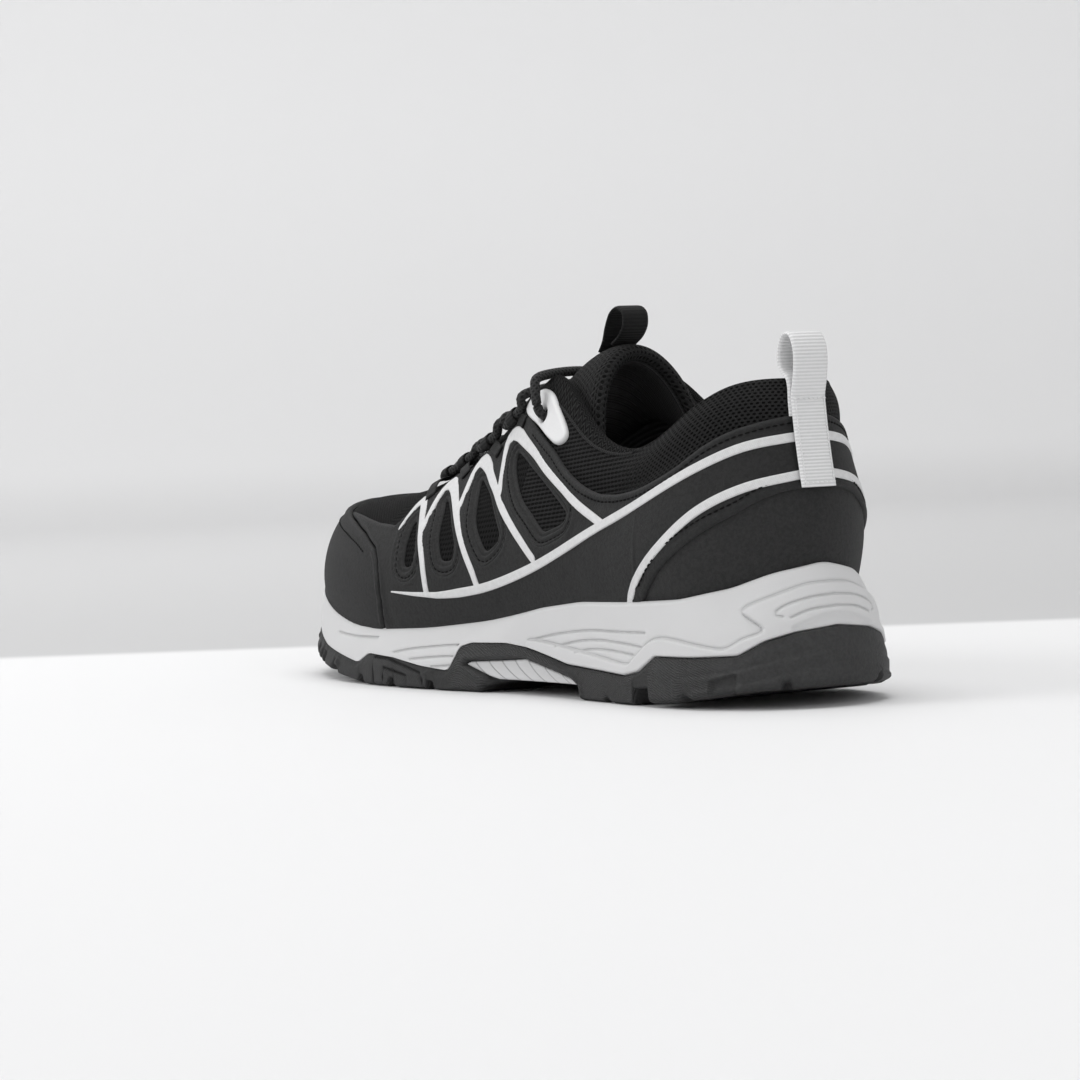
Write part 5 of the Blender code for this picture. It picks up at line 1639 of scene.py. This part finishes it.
def capSeam():
    # a row inside the toe cap's edge: up its side, then round the toe by halving v to the same inset
    inset = toeCap["stitchInset"]
    side = offsetPath(smoothPath(toeCap["outline"][1:8], 2.0), -inset)
    s, v = findOnSide(side[side[:, 1] > toeCap["stitchFrom"]])
    over = np.linspace(s[-1], turn / 2, 40)[1:]
    low, high = np.full(len(over), 0.3), np.full(len(over), 0.98)
    for _ in range(20):
        half = (low + high) / 2
        within = inOutline(sideView(onLast(over, half)), np.array(toeCap["outline"], float)) > inset
        low = np.where(within, half, low)
        high = np.where(within, high, half)
    return np.append(s, over), np.append(v, low)


def makeStitches():
    rows = []
    for window in windows:
        ring = smoothPath(window, 2.0, True)
        ring = offsetPath(np.concatenate([ring, ring[:2]]), -windowFrame["stitchAt"])
        rows += stitchRow(*findOnSide(ring), 1.2)
    rows += stitchRow(*capSeam(), toeCap["lift"] + 0.03)
    lift = panel["lift"] + stitch["stand"]
    s = np.linspace(*stitch["topRow"])
    rows += stitchRow(s, vAtHeight(s, curveTable(panel["top"], s) - stitch["belowTop"]), lift)
    s = np.linspace(*stitch["counterRow"])
    # above the counter's edge, further off towards the front
    high = curveTable(panel["counter"], s) + 3.6 + 1.6 * ease((s - 1) / 1.2)
    rows += stitchRow(s, vAtHeight(s, high), lift)
    sew("stitches", rows, threadBlack, "lace_black")


heelStitch = {"from": 0.48, "to": 0.89, "count": 21, "half": 5.4, "across": 7, "length": 1.5,
              "radius": 0.25, "stand": 0.05}


def makeHeelStitches():
    # two rows up the sewn part of the heel loop and one across each end of it
    lift = heelLoop["lift"] + heelLoop["thickness"] / 2 + heelStitch["stand"]
    sewn = skin(0.0, np.linspace(heelStitch["from"], heelStitch["to"], heelStitch["count"]), lift)
    half = heelStitch["half"]
    lines = [(sewn, np.full(len(sewn), y)) for y in (-half, half)]
    lines += [(end, np.linspace(-half, half, heelStitch["across"])) for end in (sewn[0], sewn[-1])]
    rows = []
    for base, y in lines:
        y = y + heelLoop["shift"]
        path = base + np.column_stack([y * y / (2 * heelLoop["curve"]), y, 0 * y])
        out = np.broadcast_to(np.array((-1.0, 0, 0)), path.shape)
        rows.append(capsules(path, direction(path), out, heelStitch["length"], heelStitch["radius"]))
    sew("heelStitches", rows, threadWhite, "webbing_white")


makeStitches()
makeHeelStitches()

# seam ridge between the ribbed quarter mesh and the padded edge


def makeEarSeams():
    parts = []
    for side in (1, -1):
        s, v = smoothPath(upper["seam"], 0.02).T
        path = skin(onSide(s, side), v, collarPuff(s, v) + upper["seamLift"])
        parts.append(roundTube(path, upper["seamRadius"], upper["seamSides"]))
    points, faces, uv = joinParts(parts)
    dress(makePiece("earSeams", points, faces, [webbingBlack], uv, closed=True), "mesh_black")


makeEarSeams()

# floor, backdrop and light

stage = {"floorRadius": 1700, "bend": 800, "wall": 1900, "drop": 0.05, "floor": 0.78,
         # tones from near to distant and from low to high, brightening farther back and higher up: painted
         # light that makes up for the lamps' fall-off
         "far": (0.525, 0.66), "backdrop": (0.74, 0.80),
         # metres behind the shoe where the tone changes
         "edge": (0.215, 0.245), "reach": (0.245, 1.75),
         # heights in metres where the wall's tone changes
         "foot": (0.0, 0.05), "rise": (0.04, 0.4)}


def makeStage():
    # a bowl turned about the upright axis: flat floor, a quarter circle up, then a wall
    arc = np.linspace(0, np.pi / 2, 20)
    out = np.concatenate([[1, 400, 900], stage["floorRadius"] + stage["bend"] * np.sin(arc)])
    high = np.concatenate([[0, 0, 0], stage["bend"] * (1 - np.cos(arc))])
    out, high = np.append(out, out[-1]), np.append(high, stage["wall"])
    angle = np.linspace(0, 2 * np.pi, 96, endpoint=False)
    points = np.stack([out[:, None] * np.cos(angle), out[:, None] * np.sin(angle),
                       np.repeat(high[:, None] - stage["drop"], len(angle), 1)], -1) + middle
    material, shade, shader = newFinish("paleFloor", 0.7, specular=0.2)
    x, y, height = shade.place().parts()
    az = np.radians(eye["azimuth"])
    behind = x * float(np.sin(az)) - y * float(np.cos(az))
    # lighter near the shoe, a step darker just behind it, then brighter with distance and height: the
    # brightening is painted light
    far = behind.step(*stage["reach"]).blend(*map(grey, stage["far"]))
    table = behind.step(*stage["edge"]).blend(grey(stage["floor"]), far)
    backdrop = height.step(*stage["rise"]).blend(*map(grey, stage["backdrop"]))
    feed(shade, shader, height.step(*stage["foot"]).blend(table, backdrop))
    faces, _ = quadGrid(len(out), len(angle), False, True)
    makePiece("floor", points, list(faces) + [np.arange(len(angle))], [material])


lamps = {   # place and target in metres, size, power
    "overhead": ((0.0, 0.1, 1.7), (0, 0, 0), 1.6, 18),
    "keyLeft": ((0.55, 1.5, 0.9), (0, 0, 0.05), 1.1, 12),
    "heelFill": ((-1.5, 0.1, 0.7), (-0.1, 0, 0.05), 1.0, 4),
    "wallWash": ((1.2, -0.1, 1.5), (2.35, -0.8, 0.2), 1.8, 10),
}
studio = {"tone": (0.9, 0.9, 0.9, 1), "strength": 0.45}


def makeLights():
    for name, (place, target, size, power) in lamps.items():
        data = bpy.data.lights.new(name, "AREA")
        data.shape = "DISK"
        data.size = size
        data.energy = power
        lamp = bpy.data.objects.new(name, data)
        lamp.location = place
        lamp.rotation_euler = (Vector(target) - lamp.location).to_track_quat("-Z", "Y").to_euler()
        bpy.context.scene.collection.objects.link(lamp)
    world = bpy.data.worlds.new("studio")
    world.use_nodes = True
    background = world.node_tree.nodes["Background"]
    background.inputs[0].default_value = studio["tone"]
    background.inputs[1].default_value = studio["strength"]
    bpy.context.scene.world = world
    bpy.context.scene.view_settings.view_transform = "Standard"


makeStage()
makeLights()
print("stage and light ready")
